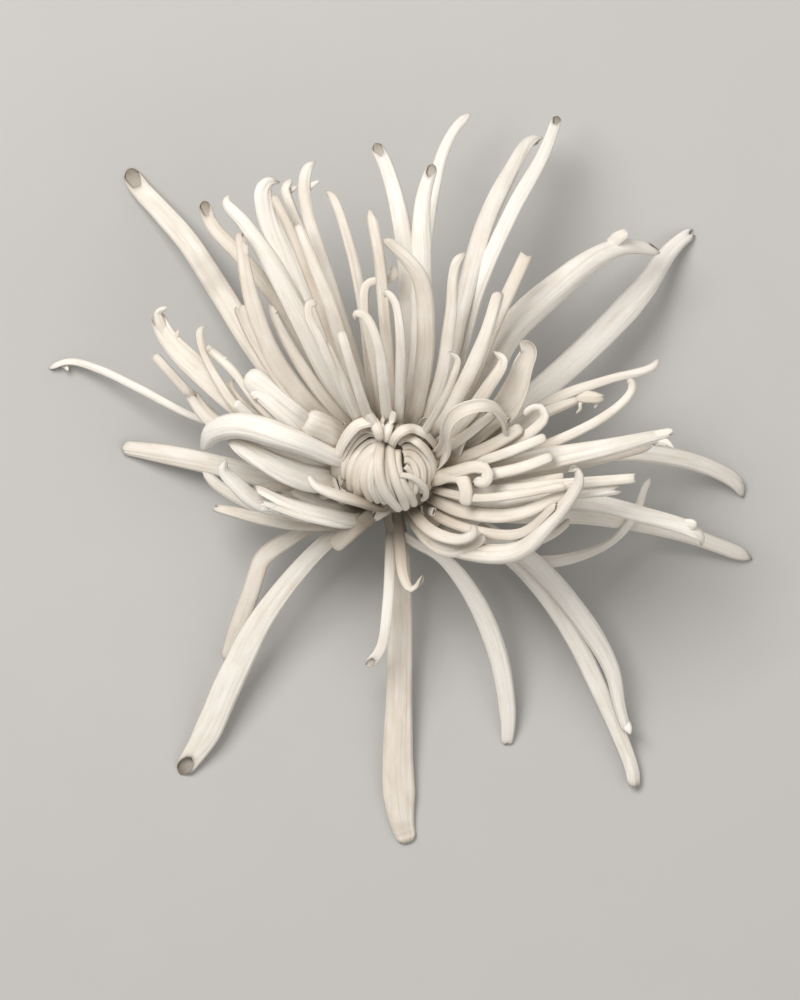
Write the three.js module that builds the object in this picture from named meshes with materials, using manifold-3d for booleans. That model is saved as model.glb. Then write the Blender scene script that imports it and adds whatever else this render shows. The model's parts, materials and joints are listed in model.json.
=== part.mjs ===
// A cut spider chrysanthemum: one white bloom lying face up on its outer florets.
// Millimetres, +Z up, the origin on the resting plane below the middle of the bloom's outline.

import * as THREE from "three";
import { mergeVertices } from "three/addons/utils/BufferGeometryUtils.js";
import Module from "manifold-3d";

// Driving dimensions
const MM_PER_STEP = 0.2; // one step of the route grid that the florets are laid out on
const GRID_CENTRE = [400.35, 477.7]; // the grid point above the origin, steps right and down
const HEART = [392, 478]; // the grid point where the florets are rooted
const ROOT_RADIUS = 4.2; // the ring on the receptacle that the florets start from
const FLATNESS = 0.5; // a floret's thickness as a share of its width
const BROAD_ABOVE = 4; // a floret wider than this is flatter
const BROAD_FLATNESS = 0.36;
const MIN_HALF = 0.32; // no floret is thinner than twice this
const MIN_END_HALF = 0.45; // half the width left at the very end of a floret
const ROUND_SIDES = 5; // sides of a broad floret's section
const THIN_SIDES = 4; // sides of a thin one
const THIN_BELOW = 2.7; // a floret narrower than this counts as thin
const END_FROM = 0.93; // the share of its length where a floret's end starts to close
const SECTION_PITCH = 13; // the longest stretch of floret between two sections
const LENGTH_SAMPLES = 120; // how finely a floret's length is measured
const REST_SHARE = 0.45; // how high a resting end's middle lies, as a share of half its thickness
const JOIN_TOLERANCE = 0.05; // edges shorter than this are closed up after joining
const SEAM = 0.3; // the gap kept between the florets, the bracts and the stem

// The receptacle that carries the florets, radius and height from the axis outwards
const RECEPTACLE = [[0, 14.4], [5.2, 14.4], [6.3, 16.2], [6.5, 18.6], [5.6, 21.4], [3.4, 23.4], [0, 24]];
const RECEPTACLE_SIDES = 16;

// The ball of young florets in the middle
const CORE_CENTRE = [391, 468]; // grid point
const CORE_HEIGHT = 27.5; // its centre above the surface
const CORE_RADII = [8.6, 7.2, 9.6];
const CORE_SIDES = [12, 8];
const YOUNG_FLATNESS = 0.7; // a young floret's thickness as a share of its width
const YOUNG_MIN_HALF = 0.8;

// The green cup below the florets
const CUP = [[0, 6.9], [2.3, 6.9], [4.2, 8.2], [5.9, 10.8], [6.7, 13.4], [5.4, 14.1], [0, 14.1]];
const CUP_SIDES = 18;
const BRACT_ROWS = [
  { count: 10, turn: 0.0, foot: [4.4, 10.2], waist: [6.7, 12.4], tip: [8.3, 14.3], width: 3.4 },
  { count: 9, turn: 0.35, foot: [3.2, 8.0], waist: [6.0, 10.6], tip: [7.9, 12.4], width: 3.2 },
  { count: 8, turn: 0.7, foot: [1.9, 7.4], waist: [4.6, 8.4], tip: [6.9, 9.8], width: 2.8 },
];
const BRACT_HALF_THICKNESS = 0.38;
const BRACT_WIDEST = 0.375; // the share of its length where a bract is widest
const BRACT_SEAT = 1.4; // how far inside the bracts' tips the florets come down to the receptacle

// The short piece of stem left on the bloom
const STEM_RADIUS = 2.3;
const STEM_RIB = 0.16; // how far its ribs stand out
const STEM_RIBS = 7;
const STEM_TOP = CUP[0][1] - SEAM;
const STEM_SIDES = 42;
const STEM_RINGS = 5;
const STEM_SWELL = 0.09; // how much wider it gets towards the bloom

// A slab larger than the bloom, its top in the plane that the bloom lies on
const SLAB = [200, 200, 20];

// How far each kind of end closes: the share of the width left at the very end
const ENDS = {
  mouth: 0.62,
  blunt: 0.6,
  cut: 0.8,
  torn: 0.45,
  fork: 0.6,
  hook: 0.4,
  curl: 0.5,
  spoon: 0.55,
  round: 0.4,
  point: 0.25,
};

// Every floret: kind of end, widths in steps at even places from root to tip, heights in
// millimetres at root, middle and tip (0 for a tip that rests on the surface), and the grid
// points that it passes
const FLORETS = {
  // The fan to the upper left
  upperLeft01: ["mouth", [15, 18, 22, 22, 21, 17], [20, 14, 0],
    [[300, 405], [256, 349], [221, 293], [187, 241], [159, 209], [138, 186], [128, 169]]],
  upperLeft02: ["blunt", [10, 13, 14, 12], [22, 38, 44], [[300, 400], [254, 338], [238, 304]]],
  upperLeft03: ["mouth", [12, 13, 14, 14, 12], [22, 34, 30],
    [[325, 377], [281, 306], [243, 259], [212, 225], [203, 201]]],
  upperLeft04: ["torn", [12, 15, 17, 16, 9], [22, 42, 46], [[305, 400], [270, 350], [249, 290], [239, 231]]],
  upperLeft05: ["hook", [11, 12, 11, 7], [22, 36, 40], [[312, 382], [278, 325], [269, 303]]],
  upperLeft06: ["hook", [14, 17, 19, 18, 9], [22, 38, 41],
    [[332, 384], [300, 318], [268, 258], [243, 222], [227, 203], [230, 195]]],
  upperLeft07: ["hook", [15, 18, 20, 20, 19, 15], [21, 34, 39],
    [[345, 395], [315, 325], [285, 258], [263, 209], [262, 186], [270, 180], [279, 181]]],
  upperLeft08: ["blunt", [9, 10, 9, 8], [23, 42, 45], [[350, 385], [312, 285], [290, 230], [273, 195]]],
  upperLeft09: ["blunt", [11, 13, 14, 9], [24, 46, 51], [[358, 398], [330, 305], [308, 250], [298, 224]]],
  upperLeft10: ["hook", [9, 10, 10, 8], [22, 36, 40],
    [[345, 370], [308, 248], [290, 203], [286, 188], [293, 179]]],
  upperLeft11: ["hook", [12, 14, 14, 13, 10], [23, 40, 45],
    [[366, 400], [334, 298], [308, 213], [304, 185], [308, 168], [316, 162]]],
  upperLeft12: ["curl", [9, 9, 8, 7], [24, 48, 53], [[345, 395], [322, 344], [308, 314], [310, 303], [317, 304]]],
  upperLeft13: ["blunt", [9, 10, 8], [25, 44, 51], [[352, 400], [330, 353], [324, 343]]],
  upperLeft14: ["round", [9, 9, 8], [26, 48, 55], [[362, 400], [346, 348], [341, 331]]],

  // The florets that stand up behind the heart
  upper01: ["point", [10, 11, 10, 8], [23, 40, 43],
    [[373, 385], [363, 308], [349, 243], [333, 198], [325, 191]]],
  upper02: ["curl", [9, 9, 9, 8, 7], [24, 41, 45],
    [[376, 375], [364, 305], [367, 284], [380, 280], [393, 277], [393, 266]]],
  upper03: ["hook", [9, 10, 10, 7], [26, 50, 55], [[384, 390], [377, 342], [364, 315], [356, 314], [356, 320]]],
  upper04: ["blunt", [10, 10, 10, 8], [24, 44, 49], [[391, 395], [385, 320], [379, 255], [370, 209]]],
  upper05: ["hook", [9, 9, 9, 7], [26, 50, 56], [[400, 390], [400, 330], [395, 301], [386, 292], [384, 297]]],
  upper06: ["mouth", [13, 16, 18, 17, 11], [23, 38, 34],
    [[405, 370], [409, 295], [401, 220], [387, 168], [375, 143]]],
  upper07: ["blunt", [13, 16, 17, 17, 12], [25, 49, 58], [[418, 398], [426, 330], [419, 275], [386, 236]]],
  upper08: ["mouth", [13, 18, 20, 19, 10], [24, 40, 40], [[418, 370], [421, 280], [423, 200], [433, 164]]],
  upper09: ["point", [11, 12, 13, 12, 8], [22, 30, 20],
    [[420, 350], [426, 240], [441, 158], [455, 129], [470, 113]]],
  upper10: ["hook", [10, 12, 12, 8], [25, 46, 53], [[438, 388], [450, 320], [456, 264], [465, 252]]],
  upper11: ["hook", [12, 14, 17, 17, 12], [22, 32, 10],
    [[442, 390], [461, 310], [485, 224], [514, 166], [529, 144], [543, 139]]],
  upper12: ["mouth", [11, 14, 15, 14, 9], [21, 31, 14],
    [[448, 385], [479, 285], [512, 211], [543, 155], [558, 116]]],
  upper13: ["hook", [7, 7, 7, 6], [26, 49, 57], [[441, 405], [454, 376], [458, 358], [449, 351]]],
  upper14: ["blunt", [12, 14, 14, 11], [24, 42, 47], [[452, 405], [483, 342], [499, 291]]],
  upper15: ["cut", [11, 13, 13, 12], [22, 34, 37], [[462, 398], [494, 325], [527, 253]]],
  upper16: ["blunt", [7, 7, 6], [20, 24, 24], [[445, 405], [470, 360]]],

  // The broad ribbons to the upper right
  upperRight01: ["hook", [16, 22, 28, 27, 18, 8, 7], [22, 29, 13],
    [[480, 385], [508, 333], [560, 283], [600, 254], [625, 244], [646, 248], [660, 250]]],
  upperRight02: ["hook", [10, 12, 13, 10], [24, 42, 47], [[458, 428], [487, 389], [504, 360], [494, 350]]],
  upperRight03: ["spoon", [14, 20, 27, 24, 15], [24, 40, 45],
    [[470, 438], [508, 404], [524, 366], [529, 350], [520, 342]]],
  upperRight04: ["torn", [18, 21, 23, 22, 20, 14], [21, 16, 0],
    [[490, 428], [550, 384], [612, 329], [660, 271], [694, 231]]],
  upperRight05: ["round", [11, 12, 13, 11, 9], [26, 54, 42],
    [[443, 452], [445, 425], [465, 407], [492, 409], [505, 432]]],
  upperRight06: ["blunt", [8, 9, 8], [28, 40, 44], [[462, 438], [494, 413]]],
  upperRight07: ["blunt", [9, 9, 9], [26, 36, 40], [[470, 444], [508, 414]]],

  // The florets to the right
  right01: ["hook", [11, 11, 9, 7], [22, 34, 33], [[480, 442], [556, 398], [610, 379], [652, 367], [659, 358]]],
  right02: ["torn", [12, 14, 13, 9], [21, 28, 30], [[485, 445], [540, 413], [605, 399]]],
  right03: ["curl", [8, 8, 8, 7], [24, 38, 42],
    [[480, 448], [522, 424], [538, 414], [541, 425], [519, 439]]],
  right04: ["blunt", [10, 11, 10], [24, 34, 38], [[485, 455], [528, 438]]],
  right05: ["hook", [10, 11, 10, 8], [23, 38, 43],
    [[480, 465], [538, 448], [599, 420], [628, 395], [628, 381]]],
  right06: ["round", [9, 9, 9], [24, 40, 46], [[490, 458], [546, 437]]],
  right07: ["fork", [12, 17, 19, 18, 13], [23, 34, 34], [[485, 470], [545, 459], [605, 448], [673, 431]]],
  right08: ["point", [11, 13, 12, 8], [22, 29, 29], [[485, 478], [550, 469], [605, 457], [652, 446]]],
  right09: ["hook", [13, 15, 17, 17, 13], [19, 16, 0],
    [[500, 463], [560, 455], [640, 453], [700, 464], [735, 482], [743, 497]]],
  right10: ["cut", [9, 10, 9], [24, 40, 43], [[480, 490], [575, 483], [636, 478]]],
  right11: ["blunt", [10, 14, 14, 12], [23, 36, 39], [[480, 500], [570, 492], [623, 489]]],
  right12: ["spoon", [11, 13, 15, 16], [22, 30, 26], [[480, 508], [575, 500], [650, 517], [694, 534], [702, 544]]],
  right13: ["point", [11, 14, 15, 13], [19, 13, 0], [[490, 513], [590, 517], [680, 533], [752, 558]]],
  right14: ["blunt", [8, 8, 7], [25, 42, 47], [[480, 498], [566, 486]]],
  right15: ["blunt", [11, 13, 12], [25, 38, 45], [[465, 512], [518, 514], [578, 487]]],
  right16: ["blunt", [9, 9, 8], [24, 36, 41], [[475, 489], [565, 477]]],

  // The swept-round florets to the lower right
  lowerRight01: ["curl", [12, 15, 18, 17, 13], [22, 30, 48],
    [[425, 533], [470, 551], [518, 550], [551, 520], [575, 488], [570, 471]]],
  lowerRight02: ["blunt", [10, 12, 9], [24, 34, 41], [[425, 528], [460, 538], [480, 525]]],
  lowerRight03: ["blunt", [9, 10, 9], [24, 35, 46], [[445, 520], [518, 534], [558, 505]]],
  lowerRight04: ["blunt", [8, 9, 8], [19, 25, 32], [[440, 535], [500, 550], [550, 536], [571, 521]]],
  lowerRight05: ["hook", [8, 10, 10, 8, 5], [18, 11, 14],
    [[480, 548], [545, 562], [608, 544], [638, 508], [651, 478]]],
  lowerRight06: ["curl", [8, 9, 8], [26, 42, 40], [[460, 466], [486, 466], [487, 477], [475, 479]]],
  lowerRight07: ["round", [10, 11, 9], [28, 44, 38], [[440, 466], [460, 476], [465, 505]]],

  // The florets that hang below
  below01: ["mouth", [8, 9, 15, 18, 18, 17, 11], [21, 12, 0],
    [[389, 523], [414, 542], [444, 559], [475, 600], [498, 656], [508, 718], [507, 744]]],
  below02: ["hook", [10, 11, 11, 8, 5], [19, 20, 24],
    [[400, 548], [404, 578], [411, 590], [418, 586], [423, 576]]],
  below03: ["mouth", [9, 10, 10, 9], [18, 18, 14], [[391, 530], [388, 600], [381, 648], [367, 667]]],
  below04: ["round", [14, 19, 21, 24, 28, 30, 26], [17, 6, 0],
    [[398, 540], [400, 620], [399, 700], [398, 770], [402, 822], [408, 843]]],
  below05: ["blunt", [12, 14, 15, 17, 19, 17, 15, 13], [21, 13, 3.6],
    [[455, 523], [516, 562], [564, 620], [595, 680], [621, 740], [632, 772], [633, 787]]],
  below06: ["torn", [11, 13, 15, 18, 17, 11, 6], [19, 8, 0],
    [[465, 518], [530, 560], [583, 620], [611, 668], [620, 708], [627, 732]]],

  // The florets to the lower left
  lowerLeft01: ["mouth", [10, 14, 18, 21, 25, 27, 26, 20], [19, 9, 0],
    [[355, 524], [325, 543], [265, 614], [232, 676], [204, 738], [180, 774]]],
  lowerLeft02: ["round", [8, 11, 14, 17, 17, 18, 17, 11], [18, 17, 4],
    [[335, 523], [305, 528], [280, 540], [260, 560], [247, 602], [235, 643], [225, 664]]],
  lowerLeft03: ["round", [10, 13, 15, 15], [26, 27, 22], [[372, 514], [350, 532], [333, 547]]],
  lowerLeft04: ["torn", [9, 13, 15, 13, 7], [18, 20, 14], [[365, 520], [315, 523], [270, 519], [213, 508]]],
  lowerLeft05: ["blunt", [9, 14, 15, 10], [21, 30, 34], [[362, 519], [325, 514], [290, 505], [254, 489]]],
  lowerLeft06: ["blunt", [8, 10, 9, 7], [20, 30, 36], [[355, 522], [310, 518], [262, 504]]],
  lowerLeft07: ["point", [12, 14, 17, 18, 15, 9], [20, 28, 34],
    [[360, 514], [300, 509], [258, 502], [236, 485], [222, 471], [221, 459]]],
  lowerLeft08: ["point", [9, 12, 12, 9], [18, 18, 17], [[345, 520], [270, 510], [222, 488], [203, 471]]],
  lowerLeft09: ["hook", [10, 12, 14, 14, 10], [24, 31, 38], [[370, 500], [335, 492], [315, 480], [317, 468]]],
  lowerLeft10: ["hook", [10, 14, 17, 15, 10], [22, 27, 35], [[365, 508], [330, 506], [308, 492], [303, 478]]],

  // The florets to the left
  left01: ["hook", [12, 14, 20, 27, 25, 16], [25, 43, 31],
    [[345, 462], [290, 439], [240, 425], [212, 431], [202, 450]]],
  left02: ["blunt", [10, 12, 12, 8], [23, 34, 34], [[315, 461], [265, 443], [223, 436]]],
  left03: ["hook", [14, 18, 17, 13, 7], [22, 33, 33], [[310, 472], [255, 452], [227, 437]]],
  left04: ["blunt", [10, 15, 19, 20, 20, 18, 13], [18, 11, 0],
    [[345, 494], [260, 476], [225, 467], [170, 455], [123, 447]]],
  left05: ["hook", [6, 7, 8, 9, 8, 7, 6], [18, 13, 0],
    [[250, 432], [197, 418], [140, 389], [100, 370], [70, 362], [49, 369]]],
  left06: ["cut", [12, 15, 16, 15], [20, 27, 23], [[260, 445], [212, 420], [189, 392]]],
  left07: ["round", [9, 9, 8, 8], [20, 25, 21], [[260, 448], [205, 408], [154, 355]]],
  left08: ["fork", [10, 13, 17, 20, 22, 13], [20, 33, 30],
    [[310, 452], [245, 412], [200, 372], [168, 338], [156, 314]]],
  left09: ["hook", [8, 9, 9, 8, 5], [22, 35, 35], [[245, 415], [219, 382], [203, 350], [200, 331], [206, 327]]],
  left10: ["torn", [9, 9, 8, 7], [23, 37, 37], [[300, 440], [262, 408], [234, 372], [207, 347]]],
  left11: ["hook", [8, 8, 7, 5], [23, 33, 33], [[300, 446], [250, 410], [231, 386], [235, 379]]],
  left12: ["round", [9, 10, 9], [22, 33, 35], [[300, 450], [255, 420], [235, 401]]],
  left13: ["spoon", [12, 15, 20, 18], [23, 38, 40], [[300, 416], [267, 388], [244, 370]]],
  left14: ["spoon", [12, 14, 15, 12], [23, 38, 40], [[305, 430], [275, 405], [252, 397]]],
  left15: ["spoon", [14, 24, 30, 24], [26, 43, 42], [[360, 440], [330, 427], [303, 430]]],
};

// The young florets that wrap the heart: widths in steps, the grid points that each passes,
// and how far in millimetres its middle lies above the ball
const HEART_FLORETS = {
  wrapLeft01: [[12, 13, 9], [[336, 466], [345, 438], [362, 425], [382, 432]], 1.5],
  wrapLeft02: [[10, 11, 8], [[340, 488], [341, 458], [357, 441], [384, 440]], 2.0],
  wrapLeft03: [[9, 10, 8], [[352, 494], [350, 466], [362, 449], [386, 446]], 2.2],
  wrapLeft04: [[14, 20, 12], [[366, 500], [364, 474], [373, 456], [388, 452]], 2.6],
  finger01: [[12, 12, 8], [[378, 446], [376, 475], [384, 494], [397, 507]], 2.8],
  finger02: [[10, 10, 7], [[388, 447], [387, 472], [393, 493], [404, 508]], 2.4],
  finger03: [[10, 10, 8], [[396, 447], [396, 470], [404, 490], [413, 504]], 2.7],
  finger04: [[8, 8, 6], [[399, 474], [413, 478], [427, 490], [421, 500]], 2.5],
  wrapRight01: [[10, 11, 8], [[392, 448], [402, 432], [424, 432], [437, 448], [435, 470]], 1.6],
  wrapRight02: [[9, 11, 9], [[402, 448], [418, 444], [431, 458], [430, 482]], 2.0],
  wrapRight03: [[10, 13, 9], [[404, 456], [417, 459], [424, 474], [421, 492]], 2.4],
  wrapRight04: [[7, 7, 6], [[402, 462], [409, 468], [411, 480], [409, 496]], 2.2],
  topTip01: [[9, 9, 7], [[381, 438], [376, 422], [370, 408]], 3.0],
  topTip02: [[8, 8, 7], [[390, 440], [388, 424], [393, 410]], 3.2],
};

const WHITE = new THREE.MeshStandardMaterial({ color: 0xe9e2d6, roughness: 0.62, metalness: 0 });
const BRACT_GREEN = new THREE.MeshStandardMaterial({ color: 0x66794a, roughness: 0.7, metalness: 0 });
const STEM_GREEN = new THREE.MeshStandardMaterial({ color: 0x5d7340, roughness: 0.66, metalness: 0 });

const wasm = await Module();
wasm.setup();

// Grid point and height to a place in millimetres
function place([right, down], height) {
  return new THREE.Vector3(
    (right - GRID_CENTRE[0]) * MM_PER_STEP,
    (GRID_CENTRE[1] - down) * MM_PER_STEP,
    height,
  );
}

// A value read off a list of evenly spaced stops, for a share from 0 to 1
function along(stops, share) {
  const at = Math.min(share, 1) * (stops.length - 1);
  const low = Math.min(Math.floor(at), stops.length - 2);
  return THREE.MathUtils.lerp(stops[low], stops[low + 1], at - low);
}

// The parabola through the heights at the root, the middle and the tip
function arch([root, middle, tip], share) {
  return root * (1 - share) * (1 - 2 * share) + 4 * middle * share * (1 - share) + tip * share * (2 * share - 1);
}

// The root on the receptacle, facing the first grid point of the route
function rootOf(first) {
  const heart = place(HEART, 0);
  const outward = place(first, 0).sub(heart).setLength(ROOT_RADIUS);
  return heart.add(outward);
}

// The curve of a floret from its hidden root through its grid points
function floretCurve(route, heights) {
  const points = [rootOf(route[0]), ...route.map((point) => place(point, 0))];
  const reach = [0];
  for (let i = 1; i < points.length; i++) reach.push(reach[i - 1] + points[i].distanceTo(points[i - 1]));
  points.forEach((point, i) => point.setZ(arch(heights, reach[i] / reach[points.length - 1])));
  return new THREE.CatmullRomCurve3(points, false, "centripetal");
}

// Side directions carried along a curve without twist, starting level
function sideDirections(tangents) {
  const sides = [new THREE.Vector3(0, 0, 1).cross(tangents[0]).normalize()];
  for (let i = 1; i < tangents.length; i++) {
    const turn = new THREE.Quaternion().setFromUnitVectors(tangents[i - 1], tangents[i]);
    sides.push(sides[i - 1].clone().applyQuaternion(turn));
  }
  return sides;
}

// The corners of a section, as shares of half the width and half the thickness
function sectionCorners(count) {
  if (count === THIN_SIDES) return [[1, 1], [-1, 1], [-1, -1], [1, -1]];
  const spread = Math.cos(Math.PI / 2 - (2 * Math.PI) / count);
  return Array.from({ length: count }, (_, i) => {
    const angle = Math.PI / 2 + (2 * Math.PI * i) / count;
    return [Math.cos(angle) / spread, Math.sin(angle)];
  });
}

// A closed skin over rings of equal length, with flat ends
function skin(rings) {
  const count = rings[0].length;
  const indices = [];
  for (let r = 0; r + 1 < rings.length; r++) {
    for (let i = 0; i < count; i++) {
      const a = r * count + i;
      const b = r * count + ((i + 1) % count);
      indices.push(a, b, b + count, a, b + count, a + count);
    }
  }
  const last = (rings.length - 1) * count;
  for (let i = 1; i + 1 < count; i++) {
    indices.push(0, i + 1, i, last, last + i, last + i + 1);
  }
  const geometry = new THREE.BufferGeometry();
  geometry.setAttribute("position", new THREE.Float32BufferAttribute(
    rings.flat().flatMap((point) => point.toArray()), 3));
  geometry.setIndex(indices);
  return geometry;
}

// The curve's parameter at each section: at every point of the route, and between far ones
function sectionTimes(curve) {
  const spans = curve.points.length - 1;
  const times = [0];
  for (let i = 0; i < spans; i++) {
    const pieces = Math.ceil(curve.points[i].distanceTo(curve.points[i + 1]) / SECTION_PITCH);
    for (let k = 1; k <= pieces; k++) times.push((i + k / pieces) / spans);
  }
  return times;
}

// A strand swept along a curve: half width and half thickness are functions of the share
// of its length
function strand(curve, sides, halfWidth, halfThickness) {
  const times = sectionTimes(curve);
  const lengths = curve.getLengths(LENGTH_SAMPLES);
  const tangents = times.map((time) => curve.getTangent(time));
  const across = sideDirections(tangents);
  const corners = sectionCorners(sides);
  const rings = times.map((time, i) => {
    const share = along(lengths, time) / lengths[LENGTH_SAMPLES];
    const centre = curve.getPoint(time);
    const up = tangents[i].clone().cross(across[i]);
    return corners.map(([x, y]) => centre.clone()
      .addScaledVector(across[i], x * halfWidth(share))
      .addScaledVector(up, y * halfThickness(share)));
  });
  return skin(rings);
}

// A geometry as a solid that can be joined and cut
function solid(geometry) {
  const bare = new THREE.BufferGeometry();
  bare.setAttribute("position", geometry.getAttribute("position"));
  if (geometry.index) bare.setIndex(geometry.index);
  const merged = mergeVertices(bare, 1e-4);
  const made = new wasm.Manifold(new wasm.Mesh({
    numProp: 3,
    vertProperties: new Float32Array(merged.getAttribute("position").array),
    triVerts: new Uint32Array(merged.index.array),
  }));
  return made;
}

// Many solids joined two by two
function join(solids) {
  let row = solids;
  while (row.length > 1) {
    const next = [];
    for (let i = 0; i < row.length; i += 2) next.push(i + 1 < row.length ? row[i].add(row[i + 1]) : row[i]);
    row = next;
  }
  return row[0];
}

// The largest body of a joined solid: sealed hollows are filled and loose scraps dropped
function mainBody(joined) {
  const bodies = joined.simplify(JOIN_TOLERANCE).decompose();
  return bodies.reduce((best, body) => (body.volume() > best.volume() ? body : best));
}

// A solid's faces as a geometry again
function faces(body) {
  const mesh = body.getMesh();
  const geometry = new THREE.BufferGeometry();
  geometry.setAttribute("position", new THREE.BufferAttribute(new Float32Array(mesh.vertProperties), 3));
  geometry.setIndex(new THREE.BufferAttribute(new Uint32Array(mesh.triVerts), 1));
  geometry.computeVertexNormals();
  return geometry;
}

// A turned solid on the axis of the heart
function turned(profile, sides) {
  const geometry = new THREE.LatheGeometry(profile.map(([r, z]) => new THREE.Vector2(r, z)), sides);
  geometry.rotateX(Math.PI / 2);
  const axis = place(HEART, 0);
  geometry.translate(axis.x, axis.y, 0);
  return geometry;
}

// One grown floret
function floret([end, widths, heights, route]) {
  const broadest = Math.max(...widths) * MM_PER_STEP;
  const flatness = broadest > BROAD_ABOVE ? BROAD_FLATNESS : FLATNESS;
  const closing = (share) => THREE.MathUtils.mapLinear(Math.max(share, END_FROM), END_FROM, 1, 1, ENDS[end]);
  const halfWidth = (share) => Math.max(along(widths, share) * closing(share) * MM_PER_STEP / 2, MIN_END_HALF);
  const halfThickness = (share) => Math.max(halfWidth(share) * flatness, MIN_HALF);
  const [root, middle, tip] = heights;
  const curve = floretCurve(route, [root, middle, tip || halfThickness(1) * REST_SHARE]);
  return strand(curve, broadest < THIN_BELOW ? THIN_SIDES : ROUND_SIDES, halfWidth, halfThickness);
}

// The height of the ball's surface over a grid point
function ballHeight(point) {
  const centre = place(CORE_CENTRE, 0);
  const from = place(point, 0).sub(centre);
  const out = Math.min((from.x / CORE_RADII[0]) ** 2 + (from.y / CORE_RADII[1]) ** 2, 0.98);
  return CORE_HEIGHT + CORE_RADII[2] * Math.sqrt(1 - out);
}

// One young floret laid over the ball
function heartFloret([widths, route, lift]) {
  const points = route.map((point) => place(point, ballHeight(point) + lift));
  const curve = new THREE.CatmullRomCurve3(points, false, "centripetal");
  const halfWidth = (share) => Math.max(along(widths, share) * MM_PER_STEP / 2, MIN_END_HALF);
  return strand(curve, THIN_SIDES, halfWidth, (share) => Math.max(halfWidth(share) * YOUNG_FLATNESS, YOUNG_MIN_HALF));
}

// The ball under the young florets
function heartCore() {
  const geometry = new THREE.SphereGeometry(1, ...CORE_SIDES);
  geometry.rotateX(Math.PI / 2);
  geometry.scale(...CORE_RADII);
  const centre = place(CORE_CENTRE, CORE_HEIGHT);
  geometry.translate(centre.x, centre.y, centre.z);
  return geometry;
}

// One bract of the cup, running out and up from the axis
function bract(row, index) {
  const angle = row.turn + (2 * Math.PI * index) / row.count;
  const axis = place(HEART, 0);
  const points = [row.foot, row.waist, row.tip].map(([r, z]) => new THREE.Vector3(
    axis.x + r * Math.cos(angle), axis.y + r * Math.sin(angle), z));
  const curve = new THREE.CatmullRomCurve3(points, false, "centripetal");
  const fromWidest = (share) => (share - BRACT_WIDEST) / (1 - BRACT_WIDEST);
  const halfWidth = (share) => Math.max(
    (row.width / 2) * Math.sqrt(Math.max(1 - fromWidest(share) ** 2, 0)), MIN_END_HALF);
  return strand(curve, THIN_SIDES, halfWidth, () => BRACT_HALF_THICKNESS);
}

// The space that the florets leave to the cup and its bracts
function cupClearance() {
  const outer = BRACT_ROWS[0].tip;
  const margin = SEAM + BRACT_HALF_THICKNESS;
  return turned([
    [0, 0], [outer[0] + margin, 0], [outer[0] + margin, outer[1] + SEAM / 2],
    [outer[0] - BRACT_SEAT, outer[1] + SEAM / 2], [RECEPTACLE[1][0], RECEPTACLE[1][1]], [0, RECEPTACLE[0][1]],
  ], CUP_SIDES);
}

// The ribbed stub of stem
function stem() {
  const axis = place(HEART, 0);
  const rings = Array.from({ length: STEM_RINGS }, (_, r) => {
    const height = (STEM_TOP * r) / (STEM_RINGS - 1);
    const swell = 1 + STEM_SWELL * (height / STEM_TOP) ** 2;
    return Array.from({ length: STEM_SIDES }, (_, i) => {
      const angle = (2 * Math.PI * i) / STEM_SIDES;
      const radius = (STEM_RADIUS + STEM_RIB * Math.cos(STEM_RIBS * angle)) * swell;
      return new THREE.Vector3(axis.x + radius * Math.cos(angle), axis.y + radius * Math.sin(angle), height);
    });
  });
  return skin(rings);
}

// The surface that the bloom lies on, to cut against
function ground() {
  const slab = new THREE.BoxGeometry(...SLAB);
  slab.translate(0, 0, -SLAB[2] / 2);
  return slab;
}

// All the florets with the receptacle that they grow from
function florets() {
  const grown = Object.values(FLORETS).map((item) => solid(floret(item)));
  const young = Object.values(HEART_FLORETS).map((item) => solid(heartFloret(item)));
  const base = [solid(turned(RECEPTACLE, RECEPTACLE_SIDES)), solid(heartCore())];
  const joined = join([...base, ...young, ...grown]);
  return faces(mainBody(joined.subtract(solid(cupClearance())).subtract(solid(ground()))));
}

// The cup with its three rows of bracts
function involucre() {
  const bracts = BRACT_ROWS.flatMap((row) => Array.from({ length: row.count }, (_, i) => solid(bract(row, i))));
  return faces(mainBody(join([solid(turned(CUP, CUP_SIDES)), ...bracts])));
}

// One named sub-part
function part(name, geometry, material) {
  const mesh = new THREE.Mesh(geometry, material);
  mesh.name = name;
  return mesh;
}

const chrysanthemum = new THREE.Group();
chrysanthemum.add(
  part("florets", florets(), WHITE),
  part("involucre", involucre(), BRACT_GREEN),
  part("stem", stem(), STEM_GREEN),
);

export default chrysanthemum;
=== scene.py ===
"""A cut spider chrysanthemum lying face up: its florets, heart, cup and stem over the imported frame."""

import json
import logging
import math
import zlib
from dataclasses import dataclass
from enum import Enum
from typing import ClassVar, Union

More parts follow.
